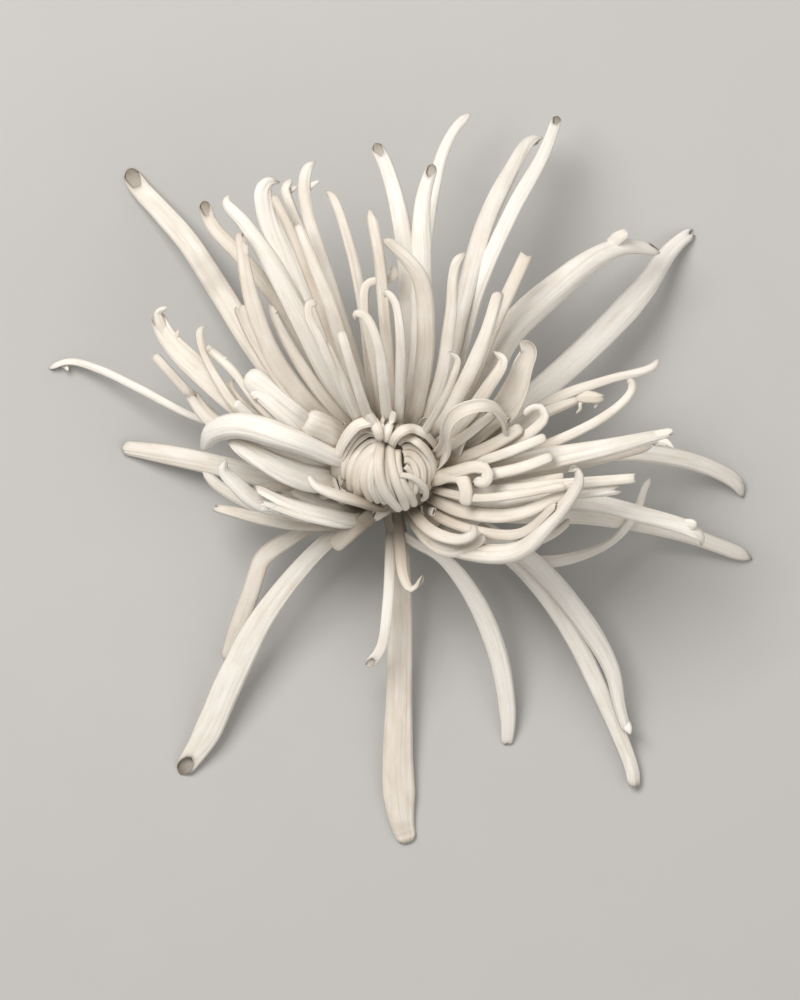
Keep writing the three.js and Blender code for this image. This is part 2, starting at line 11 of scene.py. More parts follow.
import bpy
import numpy as np
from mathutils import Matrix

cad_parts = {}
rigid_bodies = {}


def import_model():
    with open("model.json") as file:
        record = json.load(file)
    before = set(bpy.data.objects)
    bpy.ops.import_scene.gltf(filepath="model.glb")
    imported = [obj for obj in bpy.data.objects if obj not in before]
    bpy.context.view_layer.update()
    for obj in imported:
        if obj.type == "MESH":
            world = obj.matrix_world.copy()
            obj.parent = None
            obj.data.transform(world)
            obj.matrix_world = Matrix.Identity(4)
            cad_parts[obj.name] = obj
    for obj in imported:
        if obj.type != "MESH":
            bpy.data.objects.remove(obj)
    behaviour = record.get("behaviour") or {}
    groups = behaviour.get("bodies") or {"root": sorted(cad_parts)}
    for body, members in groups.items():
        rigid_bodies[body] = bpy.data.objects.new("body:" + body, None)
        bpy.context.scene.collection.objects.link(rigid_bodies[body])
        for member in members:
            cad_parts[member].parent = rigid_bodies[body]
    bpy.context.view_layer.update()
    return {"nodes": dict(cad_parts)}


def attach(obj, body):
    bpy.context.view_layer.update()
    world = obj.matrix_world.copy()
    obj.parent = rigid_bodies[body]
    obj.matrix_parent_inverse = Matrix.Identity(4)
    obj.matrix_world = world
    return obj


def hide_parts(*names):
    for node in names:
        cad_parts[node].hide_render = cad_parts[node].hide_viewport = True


LOG = logging.getLogger("chrysanthemum")

MM = 0.001
STEP = 0.2  # millimetres for one step of the grid that the florets' routes are laid out on
GRID_CENTRE = (400.35, 477.7)  # the grid point above the origin
ROOT_CENTRE = (392.0, 478.0)  # the grid point that the florets are rooted round
ROOT_RADIUS = 4.2
BALL_CENTRE = (389.0, 466.0)  # the grid point below the middle of the heart
BALL_HEIGHT = 27.5
BALL_RADII = (10.6, 8.6, 10.2)

Number = Union[int, float]
Colour = tuple[float, float, float]


class End(Enum):
    """The ways in which a floret ends."""

    MOUTH = "a quill open at a slant"
    BLUNT = "a shallow notched end"
    CUT = "an open end cut square"
    TORN = "a ragged end"
    FORK = "two lobes"
    HOOK = "a narrow tip that hooks back"
    CURL = "a strap rolled over"
    SPOON = "a broad open spoon"
    ROUND = "a closed round end"
    POINT = "a drawn-out point"


class Side(Enum):
    """The two faces of a thin blade."""

    OUTER = 1.0
    INNER = -1.0


@dataclass(frozen=True)
class EndForm:
    """What a kind of end asks of a floret.

    Attributes:
        curl: Degrees that the blade is rolled through, at even places from root to tip.
        turn: Degrees from straight up to the middle of the open side, at the same kind of places.
        last: The share of the width left at the very tip.
        narrows: How far from the tip the narrowing starts, in widths.
        trims: How far the tip is cut back at even places across, in widths.
        mark: How strongly the tip is stained, and how much painted shade darkens the inner face near it.
        taper: 0.5 for a rounded narrowing, 1 or more for a pointed one.
        from_top: Whether the trims are read from the underside over the top and back, not across the sheet.
    """

    curl: tuple[float, ...]
    turn: tuple[float, ...]
    last: float
    narrows: float
    trims: tuple[float, ...]
    mark: float
    taper: float = 0.5
    from_top: bool = False


END_FORMS: dict[End, EndForm] = {
    End.MOUTH: EndForm((345, 356, 358, 359, 359, 359), (118, 118), 0.14, 0.8,
                       (0.0, 0.0, 0.05, 0.4, 1.2, 1.45, 1.2, 0.4, 0.05, 0.0, 0.0), 0.62, 0.6, True),
    End.BLUNT: EndForm((330, 320, 300, 280, 250, 210), (176, 172, 168, 160, 150, 140), 0.6, 0.5,
                       (0.4, 0.2, 0.1, 0.02, 0.2, 0.0, 0.08, 0.2, 0.5), 0.3),
    End.CUT: EndForm((335, 335, 330, 325, 310), (178, 176, 174, 170, 165), 0.9, 0.2,
                     (0.1, 0.0, 0.06, 0.14, 0.22, 0.1, 0.0, 0.08, 0.2), 0.4),
    End.TORN: EndForm((335, 330, 320, 300, 270, 220), (178, 178, 176, 174, 165, 150), 0.5, 0.9,
                      (0.3, 0.0, 0.25, 0.1, 0.85, 0.35, 0.75, 0.1, 0.5), 0.5),
    End.FORK: EndForm((340, 345, 345, 340, 330, 300), (178, 178, 178, 176, 172, 165), 0.7, 0.5,
                      (0.0, 0.05, 0.3, 0.9, 1.5, 0.8, 0.2, 0.0, 0.1), 0.5),
    End.HOOK: EndForm((330, 320, 300, 270, 240, 190), (178, 176, 172, 165, 150, 110), 0.16, 2.0,
                      (0.5, 0.22, 0.08, 0.02, 0.0, 0.02, 0.08, 0.22, 0.5), 0.5, 0.85),
    End.CURL: EndForm((320, 300, 280, 260, 230), (178, 176, 170, 160, 140), 0.42, 0.8,
                      (0.4, 0.2, 0.06, 0.0, 0.04, 0.0, 0.06, 0.2, 0.4), 0.35),
    End.SPOON: EndForm((330, 310, 260, 180, 130), (175, 170, 120, 40, 0), 0.45, 0.6,
                       (0.7, 0.34, 0.12, 0.02, 0.05, 0.0, 0.12, 0.34, 0.7), 0.3),
    End.ROUND: EndForm((340, 352, 354, 354, 350), (180, 180), 0.16, 0.55,
                       (0.06, 0.04, 0.02, 0.0, 0.0, 0.0, 0.02, 0.04, 0.06), 0.4),
    End.POINT: EndForm((330, 320, 290, 270, 240), (178, 175, 165, 155, 140), 0.2, 1.8,
                       (0.9, 0.5, 0.2, 0.05, 0.0, 0.05, 0.2, 0.5, 0.9), 0.35, 0.9),
}


@dataclass(frozen=True)
class Look:
    """How one floret departs from what is usual for its kind of end.

    Attributes:
        tint: 0 for the dullest beige, 1 for the brightest white; a set value is partly the floret's tone and
            partly painted light and shade, higher where it lies lit and lower where it lies shaded.
        curl: Degrees that the blade is rolled through, from root to tip.
        turn: Degrees from straight up to the middle of its open side.
        dents: Creases that run across: share of the length, spread and depth in millimetres.
        mark: How strongly the tip is stained, and how much painted shade darkens the inner face near it.
        last: The share of the width left at the very tip.
    """

    tint: float | None = None
    curl: tuple[float, ...] | None = None
    turn: tuple[float, ...] | None = None
    dents: tuple[tuple[float, float, float], ...] = ()
    mark: float | None = None
    last: float | None = None


def spread(stops: tuple[float, ...], shares: np.ndarray) -> np.ndarray:
    """The values at shares of a length, read from stops at even places along it."""
    return np.interp(shares, np.linspace(0.0, 1.0, len(stops)), stops)


def smooth(low: float, high: float, at: np.ndarray) -> np.ndarray:
    """A soft step from 0 at low to 1 at high."""
    share = np.clip((at - low) / (high - low), 0.0, 1.0)
    return share * share * (3.0 - 2.0 * share)


def millimetres(steps: tuple[Number, ...]) -> tuple[float, ...]:
    """Lengths in steps of the grid as millimetres."""
    return tuple(step * STEP for step in steps)


def chance_for(name: str, more: int = 0) -> np.random.Generator:
    """A random source that gives a name the same numbers each time."""
    return np.random.default_rng(zlib.crc32(name.encode()) + more)


def place(point: tuple[Number, Number], height: float = 0.0) -> np.ndarray:
    """A grid point and a height as a place in millimetres."""
    return np.array([(point[0] - GRID_CENTRE[0]) * STEP, (GRID_CENTRE[1] - point[1]) * STEP, height])


def arch(heights: tuple[Number, ...], share: np.ndarray) -> np.ndarray:
    """The parabola through the heights at the root, the middle and the tip.

    Args:
        heights: The three heights.
        share: Shares of the length.

    Returns:
        The height at each share.
    """
    root, middle, tip = heights
    return (root * (1 - share) * (1 - 2 * share) + 4 * middle * share * (1 - share)
            + tip * share * (2 * share - 1))


def around(radius: np.ndarray, height: np.ndarray, turn: np.ndarray) -> np.ndarray:
    """Places round the axis of the bloom.

    Args:
        radius: How far from the axis they are.
        height: How high they are.
        turn: Their angles round it.

    Returns:
        The places in millimetres, with three columns added.
    """
    centre = place(ROOT_CENTRE)
    x = centre[0] + radius * np.cos(turn)
    y = centre[1] + radius * np.sin(turn)
    return np.stack([x, y, np.broadcast_to(height, x.shape)], axis=-1)


def ball_height(where: np.ndarray) -> float:
    """The height of the heart's surface over a place.

    Args:
        where: The place in millimetres; its own height isn't read.

    Returns:
        The height in millimetres.
    """
    offset = where - place(BALL_CENTRE)
    out = min((offset[0] / BALL_RADII[0]) ** 2 + (offset[1] / BALL_RADII[1]) ** 2, 0.98)
    return BALL_HEIGHT + BALL_RADII[2] * math.sqrt(1.0 - out)


def ball_normals(places: np.ndarray) -> np.ndarray:
    """The directions straight out of the heart at places round it."""
    out = (places - place(BALL_CENTRE, BALL_HEIGHT)) / np.array(BALL_RADII) ** 2
    return out / np.linalg.norm(out, axis=1)[:, None]


class Line:
    """A smooth curve through points, with level side directions carried along it without twist."""

    SAMPLES: ClassVar[int] = 20

    def __init__(self, points: np.ndarray) -> None:
        """Lays the curve.

        Args:
            points: The places in millimetres that it passes, one row each.
        """
        ends = np.vstack([2 * points[0] - points[1], points, 2 * points[-1] - points[-2]])
        pieces = [self._piece(ends[i:i + 4]) for i in range(len(points) - 1)]
        self.places = np.vstack([*pieces, points[-1:]])
        steps = np.linalg.norm(np.diff(self.places, axis=0), axis=1)
        self.reach = np.concatenate([[0.0], np.cumsum(steps)])
        self.length = float(self.reach[-1])
        self.tangents = self._tangents()
        self.sides = self._sides()
        self.ups = np.cross(self.tangents, self.sides)

    def _piece(self, four: np.ndarray) -> np.ndarray:
        """The samples between the middle two of four points.

        Args:
            four: Four points that follow one another, one row each.

        Returns:
            The samples, without the last point.
        """
        gaps = np.sqrt(np.linalg.norm(np.diff(four, axis=0), axis=1))
        gaps = np.where(gaps < 1e-4, gaps[1], gaps)
        before, here, after, beyond = four
        start = (here - before) / gaps[0] - (after - before) / (gaps[0] + gaps[1]) + (after - here) / gaps[1]
        stop = (after - here) / gaps[1] - (beyond - here) / (gaps[1] + gaps[2]) + (beyond - after) / gaps[2]
        start, stop = start * gaps[1], stop * gaps[1]
        t = np.linspace(0.0, 1.0, self.SAMPLES, endpoint=False)[:, None]
        bend = -3 * here + 3 * after - 2 * start - stop
        return here + start * t + bend * t**2 + (2 * here - 2 * after + start + stop) * t**3

    def _tangents(self) -> np.ndarray:
        """The direction at each sample."""
        run = np.gradient(self.places, axis=0)
        return run / np.linalg.norm(run, axis=1)[:, None]

    def _sides(self) -> np.ndarray:
        """The side direction at each sample, carried along without twist.

        Returns:
            One unit vector a row.
        """
        side = np.cross([0.0, 0.0, 1.0], self.tangents[0])
        sides = [side / np.linalg.norm(side)]
        for tangent in self.tangents[1:]:
            side = sides[-1] - tangent * float(sides[-1] @ tangent)
            sides.append(side / np.linalg.norm(side))
        return np.array(sides)

    def lay(self, normals: np.ndarray) -> "Line":
        """Turns the side directions so that the ups follow given normals.

        Args:
            normals: The normals, one for each sample.

        Returns:
            The line itself.
        """
        ups = normals - self.tangents * np.sum(normals * self.tangents, axis=1)[:, None]
        self.ups = ups / np.linalg.norm(ups, axis=1)[:, None]
        self.sides = np.cross(self.ups, self.tangents)
        return self

    def read(self, rows: np.ndarray, shares: np.ndarray) -> np.ndarray:
        """The places, tangents, sides or ups at shares of the length, with three columns added."""
        at = shares * self.length
        return np.stack([np.interp(at, self.reach, rows[:, k]) for k in range(3)], axis=-1)


@dataclass
class Skin:
    """Vertices and faces with what the finish reads at each vertex."""

    places: np.ndarray
    faces: np.ndarray
    marks: dict[str, np.ndarray]


@dataclass(frozen=True)
class Blade:
    """A thin sheet rolled round a line, as every floret and bract is.

    Attributes:
        name: Whose blade it is, which also seeds its small irregularities.
        widths: How wide it looks from above, in millimetres, at even places from root to tip.
        form: What its end asks.
        look: How it departs from that.
        thick: The thickness of the sheet in millimetres.
        flat: The height of its closed tube as a share of the width.
        ribs: How deep the grooves between its lengthwise ribs are, in millimetres.
        rib_pitch: How far apart the grooves are, in millimetres.
        pitch: The distance between two rings of vertices, in millimetres.
        columns: The number of places across the sheet apart from those in the grooves.
        CLOSING: From which to which roll a ribbon turns into a flattened tube.
        BOXY: How much flatter than an ellipse the broad sides of that tube are.
        TIP: The length of the finely divided tip in millimetres, and how many rings it has.
        LEAST: Half the narrowest width in millimetres.
        CLEAR: How far above the surface a blade stays at least, in millimetres.
        CREASE_SHADE: How much painted shade a crease of one millimetre puts on the blade.
        WANDER: How much the width wanders along the blade.
        RAGGED: How uneven the cut of a plain tip is, and that of a mouth.
        GROOVE: Half the width of a groove in millimetres.
        EDGE_THIN: How much thinner the sheet is at its two edges.
        TIP_THICK: The share of the thickness that is left at the very tip.
        INNER_RELIEF: How much of the grooves shows on the inner face.
    """

    name: str
    widths: tuple[float, ...]
    form: EndForm
    look: Look = Look()
    thick: float = 0.34
    flat: float = 0.5
    ribs: float = 0.12
    rib_pitch: float = 1.15
    pitch: float = 1.0
    columns: int = 9

    CLOSING: ClassVar[tuple[float, float]] = (math.radians(170), math.radians(290))
    BOXY: ClassVar[float] = 0.42
    TIP: ClassVar[tuple[float, int]] = (3.0, 13)
    LEAST: ClassVar[float] = 0.22
    CLEAR: ClassVar[float] = 0.02
    CREASE_SHADE: ClassVar[float] = 0.45
    WANDER: ClassVar[float] = 0.03
    RAGGED: ClassVar[tuple[float, float]] = (0.1, 0.015)
    GROOVE: ClassVar[float] = 0.2
    EDGE_THIN: ClassVar[float] = 0.45
    TIP_THICK: ClassVar[float] = 0.45
    INNER_RELIEF: ClassVar[float] = 0.2

    def shares(self, length: float) -> np.ndarray:
        """Where the rings stand, closer together towards the tip.

        Args:
            length: The blade's length in millimetres.

        Returns:
            The rings' shares of the length.
        """
        fine = min(self.TIP[0], length * 0.4)
        body = np.linspace(0.0, 1.0 - fine / length, max(5, round((length - fine) / self.pitch)))
        tip = 1.0 - fine / length * np.linspace(1.0, 0.0, self.TIP[1])[1:]
        return np.concatenate([body, tip])

    def half_widths(self, shares: np.ndarray, length: float) -> np.ndarray:
        """Half the width, rounded off towards the tip.

        Args:
            shares: Where it is read, as shares of the length.
            length: The blade's length in millimetres.

        Returns:
            Half the width at each share, in millimetres.
        """
        half = np.interp(shares, np.linspace(0.0, 1.0, len(self.widths)), self.widths) / 2
        last = self.form.last if self.look.last is None else self.look.last
        run = max(self.form.narrows * self.widths[-1], 0.6)
        left = np.clip((1.0 - shares) * length / run, 0.0, 1.0)
        closing = last + (1.0 - last) * np.clip(1.0 - (1.0 - left) ** 2, 0.0, 1.0) ** self.form.taper
        return np.maximum(half * closing, self.LEAST)

    def grooves(self, chance: np.random.Generator) -> tuple[np.ndarray, np.ndarray]:
        """Where the grooves run and the places across that the sheet is modelled at.

        Args:
            chance: The blade's random source.

        Returns:
            The grooves' places and all the places, from -1 to 1.
        """
        curl = float(np.mean(self.look.curl or self.form.curl)) / 360
        girth = math.pi * max(self.widths) / 2 * (1 + self.flat) * curl
        count = max(3, round(girth / self.rib_pitch))
        middles = ((np.arange(count) + 0.5 + chance.uniform(-0.22, 0.22, count)) / count) * 2 - 1
        wing = min(self.GROOVE / (girth / 2), 0.42 / count)
        plain = np.linspace(-1.0, 1.0, self.columns)
        clear = np.abs(plain[:, None] - middles[None, :]).min(axis=1) > 1.6 * wing
        clear[[0, -1]] = True
        places = np.concatenate([plain[clear], middles - wing, middles, middles + wing])
        return middles, np.sort(np.clip(places, -1.0, 1.0))

    def outline(self, shares: np.ndarray, across: np.ndarray, half: np.ndarray,
                swing: float) -> tuple[np.ndarray, np.ndarray, np.ndarray, np.ndarray]:
        """The middle of the sheet in each ring's own plane.

        Args:
            shares: The rings' shares of the length.
            across: The places across the sheet, from -1 to 1.
            half: Half the width at each ring.
            swing: 1 or -1, the side to which its opening is turned.

        Returns:
            Sideways and upward offsets, and the sideways and upward parts of the outward direction.
        """
        curl = np.radians(spread(self.look.curl or self.form.curl, shares))[:, None]
        turn = np.radians(spread(self.look.turn or self.form.turn, shares))[:, None] * swing
        closing = smooth(*self.CLOSING, curl)
        flat = 1.0 + (self.flat - 1.0) * closing
        angle = across[None, :] * curl / 2 + turn
        rise = -np.cos(angle)
        x, y = np.sin(angle), np.sign(rise) * np.abs(rise) ** (1.0 - self.BOXY * closing) * flat
        wide = (x.max(axis=1) - x.min(axis=1))[:, None]
        size = 2.0 * half[:, None] / np.maximum(wide, 1.0)
        x = (x - (x.max(axis=1) + x.min(axis=1))[:, None] / 2) * size
        y = (y - (y.max(axis=1) + y.min(axis=1))[:, None] / 2) * size
        out_x, out_y = np.sin(angle) * flat, -np.cos(angle)
        norm = np.hypot(out_x, out_y)
        return x, y, out_x / norm, out_y / norm

    def skin(self, line: Line) -> Skin:
        """Rolls the sheet round a line.

        Args:
            line: The line that it follows.

        Returns:
            The closed skin of both faces, its rim and its two ends.
        """
        chance = chance_for(self.name)
        shares = self.shares(line.length)
        middles, across = self.grooves(chance)
        swing = 1.0 if chance.random() < 0.5 else -1.0
        wobble = 1.0 + self.WANDER * np.interp(shares, np.linspace(0, 1, 6), chance.uniform(-1, 1, 6))
        half = self.half_widths(shares, line.length) * wobble
        x, y, out_x, out_y = self.outline(shares, across, half, swing)
        girth = np.concatenate([np.zeros((len(shares), 1)), np.cumsum(
            np.hypot(np.diff(x, axis=1), np.diff(y, axis=1)), axis=1)], axis=1)
        girth -= girth[:, -1:] / 2
        rib = self.relief(shares, across, middles, chance)
        read = across
        if self.form.from_top:
            bend, roll = np.radians(self.form.curl[-1] / 2), np.radians(self.form.turn[-1]) * swing
            read = np.mod(across * bend + roll, 2 * math.pi) / math.pi - 1.0
        trims = np.interp(read, np.linspace(-1, 1, len(self.form.trims)), self.form.trims)
        ragged = self.RAGGED[1 if self.form.from_top else 0]
        trims = trims * chance.uniform(1 - ragged, 1 + ragged, len(across)) * self.widths[-1]
        zone = min(max(2.5 * self.widths[-1], 2.0), 0.5 * line.length) / line.length
        pull = smooth(1.0 - zone, 1.0, shares)[:, None] * trims[None, :] / line.length
        along = np.clip(shares[:, None] - pull, 0.0, 1.0)
        grown = self.half_widths(along, line.length) * wobble[:, None] / half[:, None]
        x, y = x * grown, y * grown
        dent, shade = self.creases(shares, line.length)
        y = y - dent[:, None] * np.clip(out_y, 0.0, 1.0)
        centre = line.read(line.places, along)
        side, up = line.read(line.sides, along), line.read(line.ups, along)
        thin_tip = np.clip(self.TIP_THICK + (1.0 - shares) * line.length / 1.5, 0, 1)[:, None]
        sheet = self.thick * (1.0 - self.EDGE_THIN * across**4)[None, :] * thin_tip
        faces = []
        for way in (Side.OUTER.value, Side.INNER.value):
            push = way * sheet / 2 + rib * (1.0 if way > 0 else self.INNER_RELIEF)
            faces.append(centre + side * (x + out_x * push)[..., None] + up * (y + out_y * push)[..., None])
        low = np.minimum(faces[0][..., 2].min(axis=1), faces[1][..., 2].min(axis=1))
        lift = np.maximum(self.CLEAR - low, 0.0)[:, None]
        for face in faces:
            face[..., 2] += lift
        stains_and_shade = self._stains_and_shade(shares, across, line.length, shade)
        return self._close(faces, along * line.length, girth, stains_and_shade)

    def relief(self, shares: np.ndarray, across: np.ndarray, middles: np.ndarray,
               chance: np.random.Generator) -> np.ndarray:
        """How far each place stands out: grooves that are deeper in some stretches than in others.

        Args:
            shares: The rings' shares of the length.
            across: The places across the sheet.
            middles: The places of the grooves.
            chance: The blade's random source.

        Returns:
            Millimetres outwards, one row a ring.
        """
        rib = np.zeros((len(shares), len(across)))
        for middle in middles:
            here = np.abs(across - middle) < 1e-6
            deep = self.ribs * chance.uniform(0.45, 1.25)
            stretch = np.interp(shares, np.linspace(0, 1, 7), chance.uniform(0.35, 1.15, 7))
            rib -= deep * stretch[:, None] * here[None, :]
        return rib

    def creases(self, shares: np.ndarray, length: float) -> tuple[np.ndarray, np.ndarray]:
        """How deep the creases across the blade are at each ring, and how much painted shade darkens them.

        Args:
            shares: The rings' shares of the length.
            length: The blade's length in millimetres.

        Returns:
            The depths in millimetres and the painted shades.
        """
        dent, shade = np.zeros_like(shares), np.zeros_like(shares)
        for at, wide, deep in self.look.dents:
            here = np.exp(-(((shares - at) * length / wide) ** 2))
            dent += deep * here
            # Painted shade where the crease dips
            shade += min(abs(deep), 1.0) * self.CREASE_SHADE * here
        return dent, shade

    def _stains_and_shade(self, shares: np.ndarray, across: np.ndarray, length: float,
                shade: np.ndarray) -> tuple[np.ndarray, np.ndarray]:
        """The staining and the painted shade on the outer and on the inner face.

        Args:
            shares: The rings' shares of the length.
            across: The places across the sheet.
            length: The blade's length in millimetres.
            shade: The painted shade in the creases, ring by ring.

        Returns:
            Both, one row a ring.
        """
        left = (1.0 - shares) * length
        mark = self.form.mark if self.look.mark is None else self.look.mark
        tip = mark * np.exp(-left / 0.7)
        # Painted shade on the inner face: a little all along it and more near the tip, where the open tube is
        # dark inside
        inside = mark * np.exp(-left / (1.2 * self.widths[-1] + 0.8))
        width = np.ones_like(across)[None, :]
        # Outer face: the stained tip plus the painted shade of the creases; inner face: painted shade
        return (tip * 0.8 + shade)[:, None] * width, np.clip(inside + 0.1, 0, 1)[:, None] * width

    def _close(self, faces: list[np.ndarray], along: np.ndarray, girth: np.ndarray,
               stains_and_shade: tuple[np.ndarray, np.ndarray]) -> Skin:
        """Joins the outer and the inner face into one closed skin.

        Args:
            faces: The places of the outer and the inner face, ring by ring.
            along: How far along the blade each of them is, in millimetres.
            girth: How far across.
            stains_and_shade: The staining and the painted shade on each face.

        Returns:
            The closed skin.
        """
        rings, row = faces[0].shape[:2]
        places = np.concatenate([faces[0], faces[1][:, ::-1]], axis=1).reshape(-1, 3)
        loop = 2 * row
        i, k = np.meshgrid(np.arange(rings - 1), np.arange(loop), indexing="ij")
        a, b = i * loop + k, i * loop + (k + 1) % loop
        walls = np.stack([a, a + loop, b + loop, b], axis=-1).reshape(-1, 4)
        j = np.arange(row - 1)
        root = np.stack([j, j + 1, loop - 2 - j, loop - 1 - j], axis=-1)
        tip = (rings - 1) * loop + root[:, ::-1]
        values = {
            "reach": np.concatenate([along, along[:, ::-1]], axis=1),
            "girth": np.concatenate([girth, girth[:, ::-1]], axis=1),
            "stain": np.concatenate([stains_and_shade[0], stains_and_shade[1][:, ::-1]], axis=1),
        }
        return Skin(places, np.vstack([walls, root, tip]), {k: v.ravel() for k, v in values.items()})


@dataclass(frozen=True)
class Ray:
    """One long floret.

    Attributes:
        name: Its name.
        end: How it ends.
        widths: Widths in steps.
        heights: Heights in millimetres at root, middle and tip; 0 at the tip rests it on the surface.
        route: The grid points that it passes.
        BROAD: From which width in millimetres its tube lies flatter.
    """

    name: str
    end: End
    widths: tuple[Number, ...]
    heights: tuple[Number, Number, Number]
    route: tuple[tuple[Number, Number], ...]

    BROAD: ClassVar[float] = 4.0

    def line(self) -> Line:
        """The line from the hidden root through the route.

        Returns:
            The line; a tip of height 0 rests on the surface.
        """
        heart, first = place(ROOT_CENTRE), place(self.route[0])
        out = (first - heart) / np.linalg.norm(first - heart)
        points = np.array([heart + out * ROOT_RADIUS, *[place(p) for p in self.route]])
        reach = np.concatenate([[0.0], np.cumsum(np.linalg.norm(np.diff(points, axis=0), axis=1))])
        root, middle, tip = self.heights
        tip = tip or self.widths[-1] * STEP * 0.12
        points[:, 2] = arch((root, middle, tip), reach / reach[-1])
        return Line(points)

    def blade(self) -> Blade:
        """The sheet that this floret is rolled from, with shallow grooves where it is a closed tube.

        Returns:
            The sheet.
        """
        widths = millimetres(self.widths)
        broad = max(widths)
        shallow = 0.5 if self.end in (End.MOUTH, End.ROUND) else 1.0
        return Blade(self.name, widths, END_FORMS[self.end], look_of(self.name),
                     flat=0.36 if broad > self.BROAD else 0.44,
                     ribs=(0.13 + 0.015 * broad) * shallow, rib_pitch=0.95 + 0.08 * broad)


@dataclass(frozen=True)
class Slip:
    """A tooth, torn lobe or tiny tip that stands on another floret.

    Attributes:
        name: Its name.
        parent: The floret that it stands on, whose height it starts from.
        end: How it ends.
        widths: Widths in steps.
        rise: Heights in millimetres above the parent, at even places from foot to tip.
        route: The grid points that it passes.
        SUNK: How deep its foot is inside the parent, in millimetres.
    """

    name: str
    parent: str
    end: End
    widths: tuple[Number, ...]
    rise: tuple[float, ...]
    route: tuple[tuple[Number, Number], ...]

    SUNK: ClassVar[float] = 0.9

    def line(self, parent: Line) -> Line:
        """The line of the slip, from just inside its parent under its foot.

        Args:
            parent: The line of the floret that it stands on.

        Returns:
            The slip's own line.
        """
        foot = place(self.route[0])
        near = int(np.argmin(np.hypot(*(parent.places[:, :2] - foot[:2]).T)))
        base = float(parent.places[near, 2])
        points = np.array([place(p) for p in self.route])
        points[:, 2] = base + spread((-self.SUNK, *self.rise), np.linspace(0, 1, len(points)))
        return Line(points)

    def blade(self) -> Blade:
        """The thin little sheet that this slip is rolled from."""
        return Blade(self.name, millimetres(self.widths), END_FORMS[self.end], Look(mark=0.12), thick=0.28,
                     ribs=0.06, pitch=0.5, columns=7)


@dataclass(frozen=True)
class Young:
    """One young floret of the heart.

    Attributes:
        name: Its name.
        widths: Widths in steps.
        route: The grid points that it passes.
        lifts: How far it is above the ball, in millimetres, at even places from foot to tip.
        end: How it ends.
        look: How it departs from its kind.
        STOPS: How many places of its route are set onto the ball.
    """

    name: str
    widths: tuple[Number, ...]
    route: tuple[tuple[Number, Number], ...]
    lifts: tuple[float, ...]
    end: End = End.CURL
    look: Look = Look(tint=0.4, curl=(150, 140, 140, 160), turn=(180, 180), mark=0.25)

    STOPS: ClassVar[int] = 10

    def line(self) -> Line:
        """The line over the ball, lying flat on it.

        Returns:
            The line, its ups turned away from the heart's middle.
        """
        plan = Line(np.array([place(p) for p in self.route]))
        shares = np.linspace(0.0, 1.0, self.STOPS)
        stops = plan.read(plan.places, shares)
        stops[:, 2] = [ball_height(stop) for stop in stops] + spread(self.lifts, shares)
        line = Line(stops)
        return line.lay(ball_normals(line.places))

    def blade(self) -> Blade:
        """The sheet that it is rolled from, fuller and more finely ribbed than that of a long floret."""
        return Blade(self.name, millimetres(self.widths), END_FORMS[self.end], self.look, thick=0.36,
                     flat=0.6, ribs=0.13, rib_pitch=0.55, pitch=0.7, columns=7)


BRIGHT_YOUNG = Look(tint=0.75, curl=(150, 140, 150, 190), turn=(180, 180), mark=0.2)


